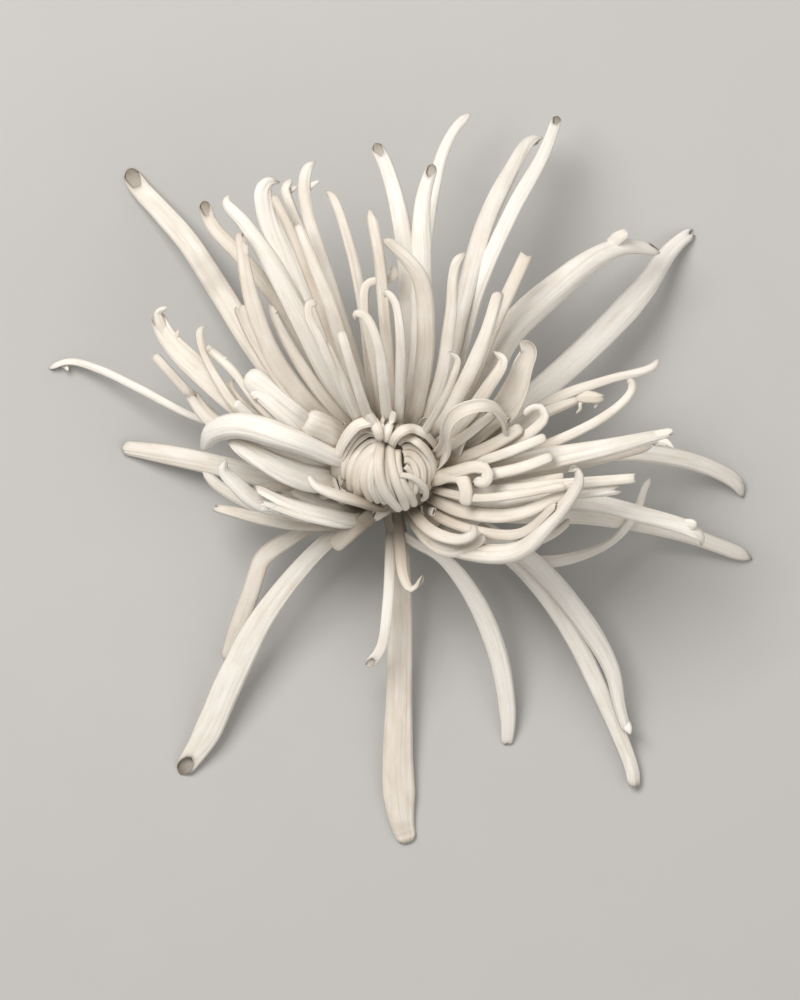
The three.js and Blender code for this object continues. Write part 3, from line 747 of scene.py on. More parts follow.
FANS: dict[str, tuple[Ray, ...]] = {
    "upper_left": (
        Ray("upperLeft01", End.MOUTH, (15, 18, 22, 22, 21, 17), (20, 14, 0),
            ((300, 405), (256, 349), (221, 293), (187, 241), (159, 209), (138, 186), (128, 169))),
        Ray("upperLeft02", End.BLUNT, (12, 16, 17, 15), (22, 38, 45), ((300, 400), (256, 338), (240, 304))),
        Ray("upperLeft03", End.MOUTH, (12, 13, 14, 14, 12), (22, 34, 30),
            ((325, 377), (281, 306), (243, 259), (212, 225), (203, 201))),
        Ray("upperLeft04", End.TORN, (12, 15, 17, 16, 9), (22, 42, 46),
            ((305, 400), (270, 350), (249, 290), (239, 231))),
        Ray("upperLeft05", End.HOOK, (11, 12, 11, 7), (22, 36, 40), ((312, 382), (278, 325), (269, 303))),
        Ray("upperLeft06", End.HOOK, (14, 17, 19, 18, 9), (22, 38, 41),
            ((332, 384), (300, 318), (268, 258), (243, 222), (227, 203), (230, 195))),
        Ray("upperLeft07", End.HOOK, (15, 20, 25, 27, 26, 21, 15), (21, 36, 41),
            ((345, 395), (315, 325), (285, 258), (266, 212), (263, 189), (270, 181), (280, 181))),
        Ray("upperLeft08", End.BLUNT, (9, 10, 9, 8), (23, 42, 45),
            ((350, 385), (312, 285), (290, 230), (273, 195))),
        Ray("upperLeft09", End.BLUNT, (11, 13, 14, 9), (24, 46, 51),
            ((358, 398), (330, 305), (308, 250), (298, 224))),
        Ray("upperLeft10", End.HOOK, (9, 10, 10, 8), (22, 36, 40),
            ((345, 370), (308, 248), (290, 203), (286, 188), (293, 179))),
        Ray("upperLeft11", End.HOOK, (12, 14, 14, 13, 10), (23, 40, 45),
            ((366, 400), (334, 298), (308, 213), (304, 185), (308, 168), (316, 162))),
        Ray("upperLeft12", End.CURL, (9, 9, 8, 7), (24, 48, 53),
            ((345, 395), (322, 344), (308, 314), (310, 303), (317, 304))),
        Ray("upperLeft13", End.BLUNT, (9, 10, 8), (25, 44, 51), ((352, 400), (330, 353), (324, 343))),
        Ray("upperLeft14", End.ROUND, (9, 9, 8), (26, 48, 55), ((362, 400), (346, 348), (341, 331))),
    ),
    "upper": (
        Ray("upper01", End.POINT, (10, 11, 10, 8), (23, 40, 43),
            ((373, 385), (363, 308), (349, 243), (333, 198), (325, 191))),
        Ray("upper02", End.CURL, (9, 9, 9, 8, 7), (24, 41, 45),
            ((376, 375), (364, 305), (367, 284), (380, 280), (393, 277), (393, 266))),
        Ray("upper03", End.HOOK, (9, 10, 10, 7), (26, 50, 55),
            ((384, 390), (377, 342), (364, 315), (356, 314), (356, 320))),
        Ray("upper04", End.POINT, (10, 10, 11, 10), (24, 44, 49),
            ((391, 395), (385, 320), (379, 255), (370, 209))),
        Ray("upper05", End.HOOK, (9, 9, 9, 7), (26, 50, 56),
            ((400, 390), (400, 330), (395, 301), (386, 292), (384, 297))),
        Ray("upper06", End.MOUTH, (13, 16, 18, 17, 11), (23, 38, 34),
            ((405, 370), (409, 295), (401, 220), (387, 168), (375, 143))),
        Ray("upper07", End.BLUNT, (13, 16, 17, 17, 12), (25, 49, 58),
            ((418, 398), (426, 330), (419, 275), (386, 236))),
        Ray("upper08", End.MOUTH, (13, 18, 20, 19, 10), (24, 40, 40),
            ((418, 370), (421, 280), (423, 200), (433, 164))),
        Ray("upper09", End.POINT, (11, 12, 13, 12, 8), (22, 30, 20),
            ((420, 350), (426, 240), (441, 158), (455, 129), (470, 113))),
        Ray("upper10", End.HOOK, (10, 12, 12, 8), (25, 46, 53),
            ((438, 388), (450, 320), (456, 264), (465, 252))),
        Ray("upper11", End.HOOK, (12, 14, 17, 17, 12), (22, 32, 10),
            ((442, 390), (461, 310), (485, 224), (514, 166), (529, 144), (543, 139))),
        Ray("upper12", End.MOUTH, (11, 14, 15, 14, 9), (21, 31, 14),
            ((448, 385), (479, 285), (512, 211), (543, 155), (558, 116))),
        Ray("upper13", End.HOOK, (7, 7, 7, 6), (26, 49, 57),
            ((441, 405), (454, 376), (458, 358), (449, 351))),
        Ray("upper14", End.BLUNT, (12, 14, 14, 11), (24, 42, 47), ((452, 405), (483, 342), (499, 291))),
        Ray("upper15", End.CUT, (11, 13, 13, 12), (22, 34, 37), ((462, 398), (494, 325), (527, 253))),
        Ray("upper16", End.BLUNT, (7, 7, 6), (20, 24, 24), ((445, 405), (470, 360))),
    ),
    "upper_right": (
        Ray("upperRight01", End.MOUTH, (16, 22, 27, 29, 29, 25, 17, 10), (22, 29, 13),
            ((480, 385), (508, 333), (560, 284), (600, 255), (625, 246), (646, 248), (660, 251))),
        Ray("upperRight02", End.HOOK, (10, 12, 13, 10), (24, 42, 47),
            ((458, 428), (487, 389), (504, 360), (494, 350))),
        Ray("upperRight03", End.SPOON, (14, 20, 27, 24, 15), (24, 40, 45),
            ((470, 438), (508, 404), (524, 366), (529, 350), (520, 342))),
        Ray("upperRight04", End.TORN, (16, 19, 22, 24, 25, 25, 18, 10), (21, 16, 0),
            ((490, 428), (550, 382), (605, 331), (645, 287), (666, 256), (680, 241), (694, 231))),
        Ray("upperRight05", End.ROUND, (8, 15, 18, 18, 17, 14, 11, 8), (19, 50, 43),
            ((436, 461), (446, 449), (447, 432), (454, 417), (470, 408), (490, 407), (502, 419), (506, 434))),
        Ray("upperRight06", End.BLUNT, (8, 9, 8), (28, 40, 44), ((462, 438), (494, 413))),
        Ray("upperRight07", End.BLUNT, (9, 9, 9), (26, 36, 40), ((470, 444), (508, 414))),
    ),
    "right": (
        Ray("right01", End.HOOK, (11, 11, 9, 7), (22, 34, 33),
            ((480, 442), (556, 398), (610, 379), (652, 367), (659, 358))),
        Ray("right02", End.BLUNT, (12, 14, 14, 10), (22, 33, 34), ((485, 445), (540, 414), (578, 398))),
        Ray("right03", End.CURL, (9, 11, 11, 11, 10, 9, 7), (24, 39, 44),
            ((476, 458), (512, 444), (537, 427), (545, 416), (540, 407), (529, 409), (523, 415))),
        Ray("right04", End.ROUND, (10, 11, 11), (25, 39, 43), ((470, 455), (500, 441), (522, 427))),
        Ray("right05", End.ROUND, (10, 11, 10, 9, 8, 6), (23, 38, 43),
            ((480, 465), (538, 448), (599, 420), (625, 400), (632, 389), (631, 382), (627, 382))),
        Ray("right06", End.ROUND, (9, 9, 9), (24, 40, 46), ((490, 458), (546, 437))),
        Ray("right07", End.BLUNT, (12, 18, 22, 21, 16, 11), (24, 39, 36),
            ((485, 470), (545, 459), (605, 448), (662, 435))),
        Ray("right08", End.POINT, (11, 13, 12, 8), (22, 29, 29),
            ((485, 478), (550, 469), (605, 457), (652, 446))),
        Ray("right09", End.HOOK, (13, 15, 17, 17, 13), (19, 16, 0),
            ((500, 463), (560, 455), (640, 453), (700, 464), (735, 482), (743, 497))),
        Ray("right10", End.CUT, (9, 10, 9), (24, 40, 43), ((480, 490), (575, 483), (636, 478))),
        Ray("right11", End.TORN, (10, 15, 15, 14), (23, 39, 41), ((480, 500), (570, 492), (624, 487))),
        Ray("right12", End.HOOK, (11, 13, 15, 16, 15), (22, 32, 27),
            ((480, 508), (575, 500), (650, 517), (688, 529), (699, 537), (700, 546))),
        Ray("right13", End.POINT, (11, 14, 15, 13), (19, 13, 0),
            ((490, 513), (590, 517), (680, 533), (752, 558))),
        Ray("right14", End.BLUNT, (8, 8, 7), (25, 42, 47), ((480, 498), (566, 486))),
        Ray("right15", End.BLUNT, (11, 13, 12), (25, 38, 45), ((465, 512), (518, 514), (578, 487))),
        Ray("right16", End.BLUNT, (9, 9, 8), (24, 36, 41), ((475, 489), (565, 477))),
        Ray("right17", End.ROUND, (10, 11, 10), (25, 39, 43), ((478, 476), (520, 468), (553, 456))),
    ),
    "lower_right": (
        Ray("lowerRight01", End.HOOK, (12, 14, 18, 20, 20, 18, 15, 11), (22, 38, 50),
            ((425, 533), (470, 551), (518, 550), (551, 520), (572, 494), (579, 479), (576, 469), (568, 471))),
        Ray("lowerRight02", End.HOOK, (9, 11, 12, 11, 8), (24, 34, 41),
            ((425, 526), (445, 537), (463, 539), (474, 532), (473, 524))),
        Ray("lowerRight08", End.BLUNT, (9, 11, 12, 11), (22, 30, 37),
            ((425, 537), (442, 549), (460, 551), (478, 541), (484, 533))),
        Ray("lowerRight03", End.BLUNT, (9, 10, 9), (24, 35, 46), ((445, 520), (518, 534), (558, 505))),
        Ray("lowerRight04", End.BLUNT, (8, 9, 8), (19, 25, 32),
            ((440, 535), (500, 550), (550, 536), (571, 521))),
        Ray("lowerRight05", End.HOOK, (8, 10, 11, 12, 12, 10, 6, 8, 5), (18, 11, 14),
            ((480, 548), (545, 562), (608, 544), (634, 517), (641, 500), (645, 488), (651, 478))),
        Ray("lowerRight06", End.CURL, (9, 11, 12, 11), (25, 40, 42),
            ((450, 473), (477, 467), (487, 471), (485, 481), (474, 481))),
        Ray("lowerRight07", End.ROUND, (8, 9, 12, 14, 12), (25, 38, 39),
            ((436, 480), (452, 475), (461, 477), (466, 488), (465, 506))),
    ),
    "below": (
        Ray("below01", End.BLUNT, (7, 8, 9, 15, 18, 19, 18, 16, 10), (21, 12, 0),
            ((389, 523), (414, 542), (444, 559), (475, 600), (498, 656), (508, 718), (507, 744))),
        Ray("below02", End.HOOK, (10, 11, 11, 8, 5), (19, 20, 24),
            ((400, 548), (404, 578), (411, 590), (418, 586), (423, 576))),
        Ray("below03", End.MOUTH, (9, 10, 10, 9), (18, 18, 14),
            ((391, 530), (388, 600), (381, 648), (367, 667))),
        Ray("below04", End.ROUND, (14, 19, 22, 23, 25, 28, 31, 17), (17, 6, 0),
            ((398, 540), (400, 620), (399, 700), (398, 770), (402, 822), (408, 843))),
        Ray("below05", End.BLUNT, (12, 14, 15, 17, 19, 17, 15, 13), (20, 10, 1.0),
            ((455, 523), (516, 562), (564, 620), (595, 680), (621, 740), (632, 772), (633, 787))),
        Ray("below06", End.TORN, (12, 14, 16, 20, 20, 15, 8), (21, 13, 4.5),
            ((465, 518), (530, 560), (583, 620), (611, 668), (620, 708), (627, 732))),
    ),
    "lower_left": (
        Ray("lowerLeft01", End.MOUTH, (10, 14, 17, 20, 25, 27, 26, 15), (19, 10, 0),
            ((355, 524), (325, 543), (265, 614), (232, 676), (204, 738), (180, 774))),
        Ray("lowerLeft02", End.ROUND, (9, 11, 13, 14, 16, 17, 17, 16, 12), (18, 11, 1.2),
            ((345, 521), (311, 526), (288, 539), (268, 553), (261, 561), (257, 572), (249, 597), (237, 629),
             (226, 660))),
        Ray("lowerLeft03", End.ROUND, (10, 13, 15, 15), (26, 27, 22), ((372, 514), (350, 532), (333, 547))),
        Ray("lowerLeft04", End.TORN, (9, 13, 15, 13, 7), (18, 20, 14),
            ((365, 520), (315, 523), (270, 519), (213, 508))),
        Ray("lowerLeft05", End.BLUNT, (9, 14, 15, 10), (21, 30, 34),
            ((362, 519), (325, 514), (290, 505), (254, 489))),
        Ray("lowerLeft06", End.BLUNT, (8, 10, 9, 7), (20, 30, 36), ((355, 522), (310, 518), (262, 504))),
        Ray("lowerLeft07", End.BLUNT, (12, 14, 17, 19, 18, 14), (20, 28, 35),
            ((360, 514), (300, 509), (258, 502), (236, 485), (222, 471), (221, 459))),
        Ray("lowerLeft08", End.POINT, (9, 12, 12, 9), (18, 18, 17),
            ((345, 520), (270, 510), (222, 488), (203, 471))),
        Ray("lowerLeft09", End.ROUND, (9, 14, 17, 16, 11), (29, 38, 39),
            ((378, 506), (354, 500), (331, 493), (315, 485), (309, 475))),
        Ray("lowerLeft10", End.ROUND, (10, 14, 16, 14), (20, 24, 27),
            ((365, 508), (335, 505), (312, 497), (292, 488))),
    ),
    "left": (
        Ray("left01", End.HOOK, (12, 14, 20, 27, 25, 16), (25, 43, 31),
            ((345, 462), (290, 439), (240, 425), (212, 431), (202, 450))),
        Ray("left02", End.BLUNT, (17, 23, 23, 14), (22, 32, 33), ((328, 462), (275, 447), (235, 436))),
        Ray("left03", End.HOOK, (15, 21, 26, 25, 19, 11), (22, 34, 35),
            ((345, 480), (312, 479), (286, 471), (257, 457), (238, 447), (226, 438))),
        Ray("left04", End.BLUNT, (10, 15, 19, 20, 20, 18, 13), (18, 11, 0),
            ((345, 494), (260, 476), (225, 467), (170, 455), (123, 447))),
        Ray("left05", End.HOOK, (5, 5, 5, 6, 7, 7, 6), (18, 13, 0),
            ((250, 432), (197, 418), (140, 389), (100, 370), (70, 362), (49, 369))),
        Ray("left06", End.TORN, (12, 15, 17, 13), (20, 27, 24), ((260, 445), (212, 420), (189, 392))),
        Ray("left07", End.ROUND, (9, 9, 8, 8), (20, 25, 21), ((260, 448), (205, 408), (154, 355))),
        Ray("left08", End.FORK, (10, 13, 17, 20, 22, 13), (20, 33, 30),
            ((310, 452), (245, 412), (200, 372), (168, 338), (156, 314))),
        Ray("left09", End.HOOK, (8, 9, 9, 8, 5), (22, 35, 35),
            ((245, 415), (219, 382), (203, 350), (200, 331), (206, 327))),
        Ray("left10", End.TORN, (9, 9, 8, 7), (23, 37, 37), ((300, 440), (262, 408), (234, 372), (207, 347))),
        Ray("left11", End.HOOK, (8, 8, 7, 5), (23, 33, 33), ((300, 446), (250, 410), (231, 386), (235, 379))),
        Ray("left12", End.ROUND, (9, 10, 9), (22, 31, 37), ((300, 450), (255, 420), (235, 402))),
        Ray("left13", End.ROUND, (12, 20, 26, 24), (22, 35, 40),
            ((305, 420), (280, 400), (262, 386), (246, 374))),
        Ray("left14", End.CURL, (12, 16, 19, 17, 12), (23, 36, 40),
            ((310, 436), (285, 416), (268, 401), (258, 394), (252, 398))),
        Ray("left15", End.ROUND, (14, 22, 28, 27), (19, 33, 42),
            ((366, 456), (340, 440), (322, 428), (305, 422))),
    ),
}

# The heart, from the outside inwards: left arcs, right arcs, the fingers over the front, the tips behind
YOUNG: tuple[Young, ...] = (
    Young("wrapLeft01", (9, 11, 9), ((340, 497), (334, 482), (332, 468), (337, 455)), (0.2, 0.9, 1.0)),
    Young("wrapLeft02", (8, 10, 8), ((347, 500), (342, 486), (340, 472)), (0.5, 1.3, 1.4)),
    Young("wrapLeft03", (12, 15, 14, 9), ((334, 474), (338, 452), (347, 434), (359, 423), (371, 422),
          (380, 431)),
          (2.0, 5.5, 10.0, 12.4, 13.4, 9.5)),
    Young("wrapLeft09", (8, 10, 10, 7), ((338, 478), (341, 457), (349, 441), (360, 430), (371, 429),
          (381, 436)),
          (1.4, 3.4, 6.6, 8.6, 8.4, 4.6)),
    Young("wrapLeft04", (9, 11, 10, 7), ((343, 478), (344, 461), (350, 447), (360, 437), (372, 432),
          (383, 438)),
          (1.2, 2.6, 3.8, 4.8, 4.6, 2.8)),
    Young("wrapLeft05", (9, 10, 9, 7), ((350, 489), (350, 469), (357, 453), (368, 442), (382, 441)),
          (0.8, 1.9, 2.4, 2.2, 1.6)),
    Young("wrapLeft06", (11, 14, 15, 13, 9), ((359, 497), (357, 478), (363, 461), (373, 449), (385, 444)),
          (0.8, 2.1, 2.6, 2.7, 2.2)),
    Young("wrapRight01", (9, 11, 10, 9), ((391, 444), (398, 433), (408, 428), (418, 429), (429, 437),
          (437, 449),
                                        (439, 462), (436, 475)), (4.2, 9.0, 12.0, 11.2, 8.0, 4.8, 2.4, 0.8)),
    Young("wrapRight02", (8, 9, 9, 8), ((397, 443), (405, 437), (415, 440), (425, 448), (432, 459),
          (434, 470),
                                       (432, 482)), (3.2, 5.2, 6.4, 5.4, 3.6, 2.0, 0.8)),
    Young("wrapRight03", (7, 8, 8, 7), ((402, 448), (410, 446), (418, 449), (425, 457), (429, 467),
          (429, 477),
                                       (427, 489)), (2.8, 2.9, 2.6, 2.1, 1.4, 0.6)),
    Young("wrapRight04", (7, 8, 8, 7), ((403, 454), (411, 453), (418, 459), (423, 469), (423, 480),
          (421, 493)),
          (2.9, 2.9, 2.7, 2.3, 1.6)),
    Young("wrapRight05", (6, 7, 7, 6), ((404, 460), (411, 461), (416, 470), (417, 481), (414, 495)),
          (2.7, 2.7, 2.5, 2.0)),
    Young("wrapRight06", (6, 6, 6, 5), ((405, 466), (410, 471), (411, 481), (409, 498)),
          (2.4, 2.4, 2.2, 1.8)),
    Young("wrapRight07", (8, 9, 8), ((434, 464), (432, 479), (425, 494)), (0.2, 0.4, 0.2)),
    Young("finger06", (7, 9, 9, 7), ((382, 445), (370, 457), (364, 473), (365, 489), (371, 502)),
          (1.4, 2.8, 3.0, 2.6, 1.9), End.ROUND),
    Young("finger07", (7, 9, 9, 7), ((384, 446), (375, 460), (371, 476), (372, 490), (378, 503)),
          (1.4, 3.0, 3.2, 2.8, 2.0), End.ROUND),
    Young("finger08", (7, 8, 8, 7), ((386, 447), (379, 462), (377, 477), (379, 491), (385, 504)),
          (1.2, 2.4, 2.7, 2.4, 1.9), End.ROUND),
    Young("finger05", (7, 8, 6), ((386, 448), (386, 470), (389, 486), (396, 503)), (1.7, 2.1, 2.1, 1.7),
          End.ROUND),
    Young("finger03", (7, 8, 9, 7), ((398, 450), (398, 466), (402, 481), (409, 493), (415, 506)),
          (2.4, 2.6, 2.8, 3.0), End.ROUND),
    Young("finger09", (6, 7, 6), ((396, 476), (400, 488), (406, 501)), (1.4, 1.6, 1.6), End.ROUND),
    Young("finger02", (8, 9, 10, 8), ((391, 445), (391, 459), (394, 474), (398, 486), (403, 498), (406, 510)),
          (2.6, 3.1, 3.1, 3.1, 3.3), End.ROUND),
    Young("finger01", (9, 10, 10, 8), ((380, 442), (378, 463), (380, 481), (385, 494), (392, 503),
          (400, 511)),
          (2.8, 3.6, 3.5, 3.5, 3.6), End.ROUND),
    Young("finger04", (5, 6, 7, 7, 6), ((400, 475), (411, 477), (420, 483), (426, 491), (425, 498),
          (420, 500)),
          (3.2, 3.6, 3.4, 3.0, 2.6), End.ROUND, BRIGHT_YOUNG),
    Young("topTip01", (9, 11, 10), ((381, 439), (375, 423), (367, 411)), (6.0, 12.6, 14.5), End.BLUNT,
          BRIGHT_YOUNG),
    Young("topTip02", (7, 8, 7), ((382, 437), (381, 425), (384, 417)), (5.0, 10.5, 12.5), End.ROUND),
    Young("topTip03", (7, 8, 7), ((386, 441), (388, 430), (391, 421), (394, 410)), (4.6, 9.0, 12.0, 13.5),
          End.BLUNT,
          BRIGHT_YOUNG),
    Young("topTip04", (7, 8, 7), ((393, 439), (398, 428), (402, 418)), (4.6, 7.5, 9.5), End.ROUND),
    Young("topTip05", (8, 9, 7), ((364, 434), (359, 421), (354, 411)), (4.0, 7.0, 9.0), End.ROUND),
    Young("topTip06", (7, 8, 7), ((417, 432), (422, 425), (426, 418)), (4.0, 6.6, 8.6), End.ROUND,
          BRIGHT_YOUNG),
)

# Teeth, torn lobes and tiny tips that stand on the florets
SLIPS: tuple[Slip, ...] = (
    Slip("upperLeft03lobe", "upperLeft03", End.TORN, (5, 6, 3), (0.4, 0.6, 0.9), ((207, 216), (212, 217),
         (215, 214))),
    Slip("upperLeft04lobe", "upperLeft04", End.TORN, (9, 8, 5), (0.0, 0.4, 0.7), ((242, 264), (245, 252),
         (244, 241))),
    Slip("upperLeft05tooth", "upperLeft05", End.POINT, (5, 4, 2), (0.2, 0.5, 1.2), ((271, 310), (275, 313),
         (278, 311))),
    Slip("upperLeft10tooth", "upperLeft10", End.POINT, (6, 4, 2), (0.0, 0.4, 0.8), ((288, 192), (293, 189),
         (297, 186))),
    Slip("upperLeft11tooth", "upperLeft11", End.POINT, (7, 5, 2), (0.0, 0.5, 0.9), ((306, 190), (312, 185),
         (319, 181))),
    Slip("left08tooth", "left08", End.POINT, (7, 5, 2), (0.0, 0.4, 0.8), ((171, 342), (176, 337),
         (179, 330))),
    Slip("left08lobe", "left08", End.HOOK, (12, 10, 6, 4), (0.0, 0.3, 0.9, 1.8),
         ((166, 336), (160, 322), (158, 313), (167, 307))),
    Slip("left10tooth", "left10", End.POINT, (5, 4, 2), (0.0, 0.3, 0.6), ((219, 355), (223, 358),
         (227, 359))),
    Slip("left10step", "left10", End.BLUNT, (6, 6, 5), (0.0, 0.3, 0.5), ((213, 353), (209, 349), (206, 346))),
    Slip("left05tooth", "left05", End.POINT, (5, 4, 2), (0.0, 0.3, 0.8), ((62, 364), (66, 367), (68, 371))),
    Slip("left06knob", "left06", End.ROUND, (9, 9, 7), (0.4, 0.7, 1.0), ((195, 399), (190, 393), (187, 388))),
    Slip("right02knob", "right02", End.TORN, (4, 8, 13, 11, 5), (0.2, 0.6, 0.9, 1.2, 0.8),
         ((570, 399), (579, 397), (588, 397), (597, 398), (605, 398))),
    Slip("right02hair", "right02", End.POINT, (5, 3, 2, 2), (0.6, 0.4, 0.2, 0.0),
         ((584, 399), (580, 404), (580, 409), (576, 413))),
    Slip("right02nib", "right02", End.POINT, (5, 4, 2), (0.6, 0.3, 0.1), ((594, 400), (596, 404),
         (595, 408))),
    Slip("right07lobe", "right07", End.TORN, (9, 9, 7), (0.1, 0.3, 0.3), ((648, 437), (662, 434),
         (674, 431))),
    Slip("right07tooth", "right07", End.HOOK, (7, 6, 3), (0.1, 0.2, 0.1), ((650, 440), (665, 441),
         (674, 448))),
    Slip("right07nib", "right07", End.POINT, (5, 4, 2), (0.1, 0.2, 0.2), ((654, 443), (661, 443),
         (666, 446))),
    Slip("right12lip", "right12", End.ROUND, (10, 10, 8), (0.4, 0.8, 1.0), ((680, 525), (690, 524),
         (697, 526))),
    Slip("lowerLeft06knob", "lowerLeft06", End.TORN, (8, 9, 7), (0.2, 0.7, 1.0), ((272, 508), (265, 507),
         (260, 510))),
    Slip("lowerLeft06end", "lowerLeft06", End.ROUND, (7, 8, 6), (0.6, 1.2, 1.4), ((280, 512), (273, 508),
         (269, 509))),
    Slip("upperRight01knob", "upperRight01", End.ROUND, (10, 12, 9), (0.4, 1.0, 1.2), ((610, 244),
         (619, 237), (628, 232))),
    Slip("lowerLeft07tip", "lowerLeft05", End.POINT, (8, 9, 8, 5), (-1.0, 1.5, 3.0, 4.0),
         ((340, 520), (318, 519), (296, 516), (272, 508))),
    Slip("brokenTip", "lowerLeft03", End.TORN, (10, 12, 10), (0.8, 1.6, 0.9), ((388, 508), (380, 512),
         (373, 519))),
    Slip("cutTip", "left15", End.CUT, (8, 8, 7), (-1.0, 0.4, 1.2), ((352, 434), (346, 429), (342, 425))),
    Slip("hollowTip", "right15", End.CUT, (8, 8, 7), (-4.0, -3.5, -3.0), ((434, 512), (426, 510),
         (419, 509))),
    Slip("below06knob", "below06", End.TORN, (7, 8, 5), (0.2, 0.5, 0.4), ((625, 720), (628, 728),
         (629, 735))),
)

# Florets whose brightness, roll or creases are their own; the brightness is partly painted light and shade:
# high for florets that lie in the light, low for shaded ones
LOOKS: dict[str, Look] = {
    "upperLeft01": Look(tint=0.55, dents=((0.62, 2.2, 0.5), (0.68, 1.6, -0.3)), mark=1.0),
    "upperLeft02": Look(tint=0.3, mark=0.5),
    "upperLeft03": Look(tint=0.3, mark=0.9),
    "upperLeft04": Look(tint=0.25),
    "upperLeft06": Look(tint=1.0),
    "upperLeft07": Look(tint=1.0, mark=0.8),
    "upperLeft08": Look(tint=0.1, curl=(310, 290, 250, 220, 200)),
    "upperLeft09": Look(tint=0.45),
    "upperLeft10": Look(tint=0.7),
    "upperLeft11": Look(tint=0.65, mark=0.7),
    "upper01": Look(mark=0.8),
    "upper06": Look(tint=0.85, mark=0.8),
    "upper07": Look(tint=0.35, turn=(175, 172, 168, 160, 120)),
    "upper08": Look(tint=0.85, mark=0.8),
    "upper09": Look(tint=1.0),
    "upper11": Look(tint=0.75),
    "upper12": Look(tint=1.0, mark=0.9),
    "upper16": Look(tint=0.0),
    "upperRight01": Look(tint=0.8, curl=(300, 240, 190, 170, 190, 230, 300),
                         turn=(178, 178, 176, 172, 170, 172, 178), mark=0.8),
    "upperRight03": Look(tint=0.55, curl=(310, 230, 170, 150, 130), turn=(170, 120, 60, 20, 0)),
    "upperRight05": Look(tint=0.6, curl=(220, 170, 150, 160, 180), turn=(0, 0, 0, 0, 0)),
    "upperRight04": Look(tint=0.95, curl=(320, 290, 260, 260, 280, 310), turn=(172, 166, 160, 160, 166, 172)),
    "right07": Look(tint=0.7, mark=0.1),
    "right09": Look(tint=0.7, curl=(300, 260, 230, 230, 280), turn=(172, 168, 166, 168, 172), mark=1.2),
    "right11": Look(tint=0.75),
    "right12": Look(tint=0.85, mark=0.3),
    "right13": Look(tint=0.6, mark=1.3),
    "lowerRight01": Look(tint=0.6, curl=(300, 260, 240, 230, 220, 230), turn=(180, 180)),
    "lowerRight05": Look(tint=0.8),
    "below01": Look(tint=1.0, curl=(330, 310, 280, 260, 260, 280, 320),
                    turn=(178, 178, 176, 174, 172, 172, 175), mark=0.5),
    "below03": Look(tint=0.75, mark=0.3),
    "below04": Look(tint=0.3, mark=0.5, dents=((0.955, 1.0, 0.35), (0.975, 0.6, 0.3))),
    "below05": Look(tint=0.85, mark=0.8),
    "below06": Look(tint=0.95, curl=(300, 290, 250, 220, 200, 190)),
    "lowerLeft01": Look(tint=0.7, mark=1.0, dents=((0.16, 2.0, 0.35),)),
    "lowerLeft02": Look(tint=0.45, dents=((0.33, 2.5, 0.35),)),
    "lowerLeft05": Look(tint=0.9),
    "lowerLeft06": Look(tint=0.95),
    "lowerLeft07": Look(tint=0.95, mark=0.1),
    "left01": Look(tint=1.0, curl=(300, 220, 170, 160, 180, 220), turn=(180, 180, 180, 180, 180, 180)),
    "left03": Look(tint=0.8),
    "left04": Look(tint=0.6, mark=0.8),
    "left05": Look(tint=0.9),
    "left08": Look(tint=0.45, mark=0.45),
    "left12": Look(tint=1.0, mark=0.1),
    "left13": Look(tint=1.0, curl=(300, 260, 230, 220), turn=(180, 180), mark=0.2),
    "left14": Look(tint=0.9, curl=(300, 260, 240, 240), turn=(180, 180), mark=0.3),
    "left15": Look(tint=0.6, curl=(290, 220, 190, 190), turn=(180, 180), mark=0.2),
}


def look_of(name: str) -> Look:
    """How a floret departs from its kind."""
    return LOOKS.get(name, Look())


class Wire:
    """A value socket that Python's operators can be used on."""

    def __init__(self, board: "Board", socket: bpy.types.NodeSocket) -> None:
        """Holds a socket of a board's node tree."""
        self.board = board
        self.socket = socket

    def _math(self, operation: str, *values: "Wire | Number") -> "Wire":
        """Adds a Math node over values and wires."""
        made = self.board.node("ShaderNodeMath", {"operation": operation}, dict(enumerate(values)))
        return self.board.out(made)

    def __add__(self, other: "Wire | Number") -> "Wire":
        """self + other."""
        return self._math("ADD", self, other)

    def __radd__(self, other: Number) -> "Wire":
        """other + self."""
        return self._math("ADD", other, self)

    def __sub__(self, other: "Wire | Number") -> "Wire":
        """self - other."""
        return self._math("SUBTRACT", self, other)

    def __rsub__(self, other: Number) -> "Wire":
        """other - self."""
        return self._math("SUBTRACT", other, self)

    def __mul__(self, other: "Wire | Number") -> "Wire":
        """self * other."""
        return self._math("MULTIPLY", self, other)

    def __rmul__(self, other: Number) -> "Wire":
        """other * self."""
        return self._math("MULTIPLY", other, self)

    def clamp(self) -> "Wire":
        """The value kept between 0 and 1."""
        return self._math("MINIMUM", self._math("MAXIMUM", self, 0.0), 1.0)


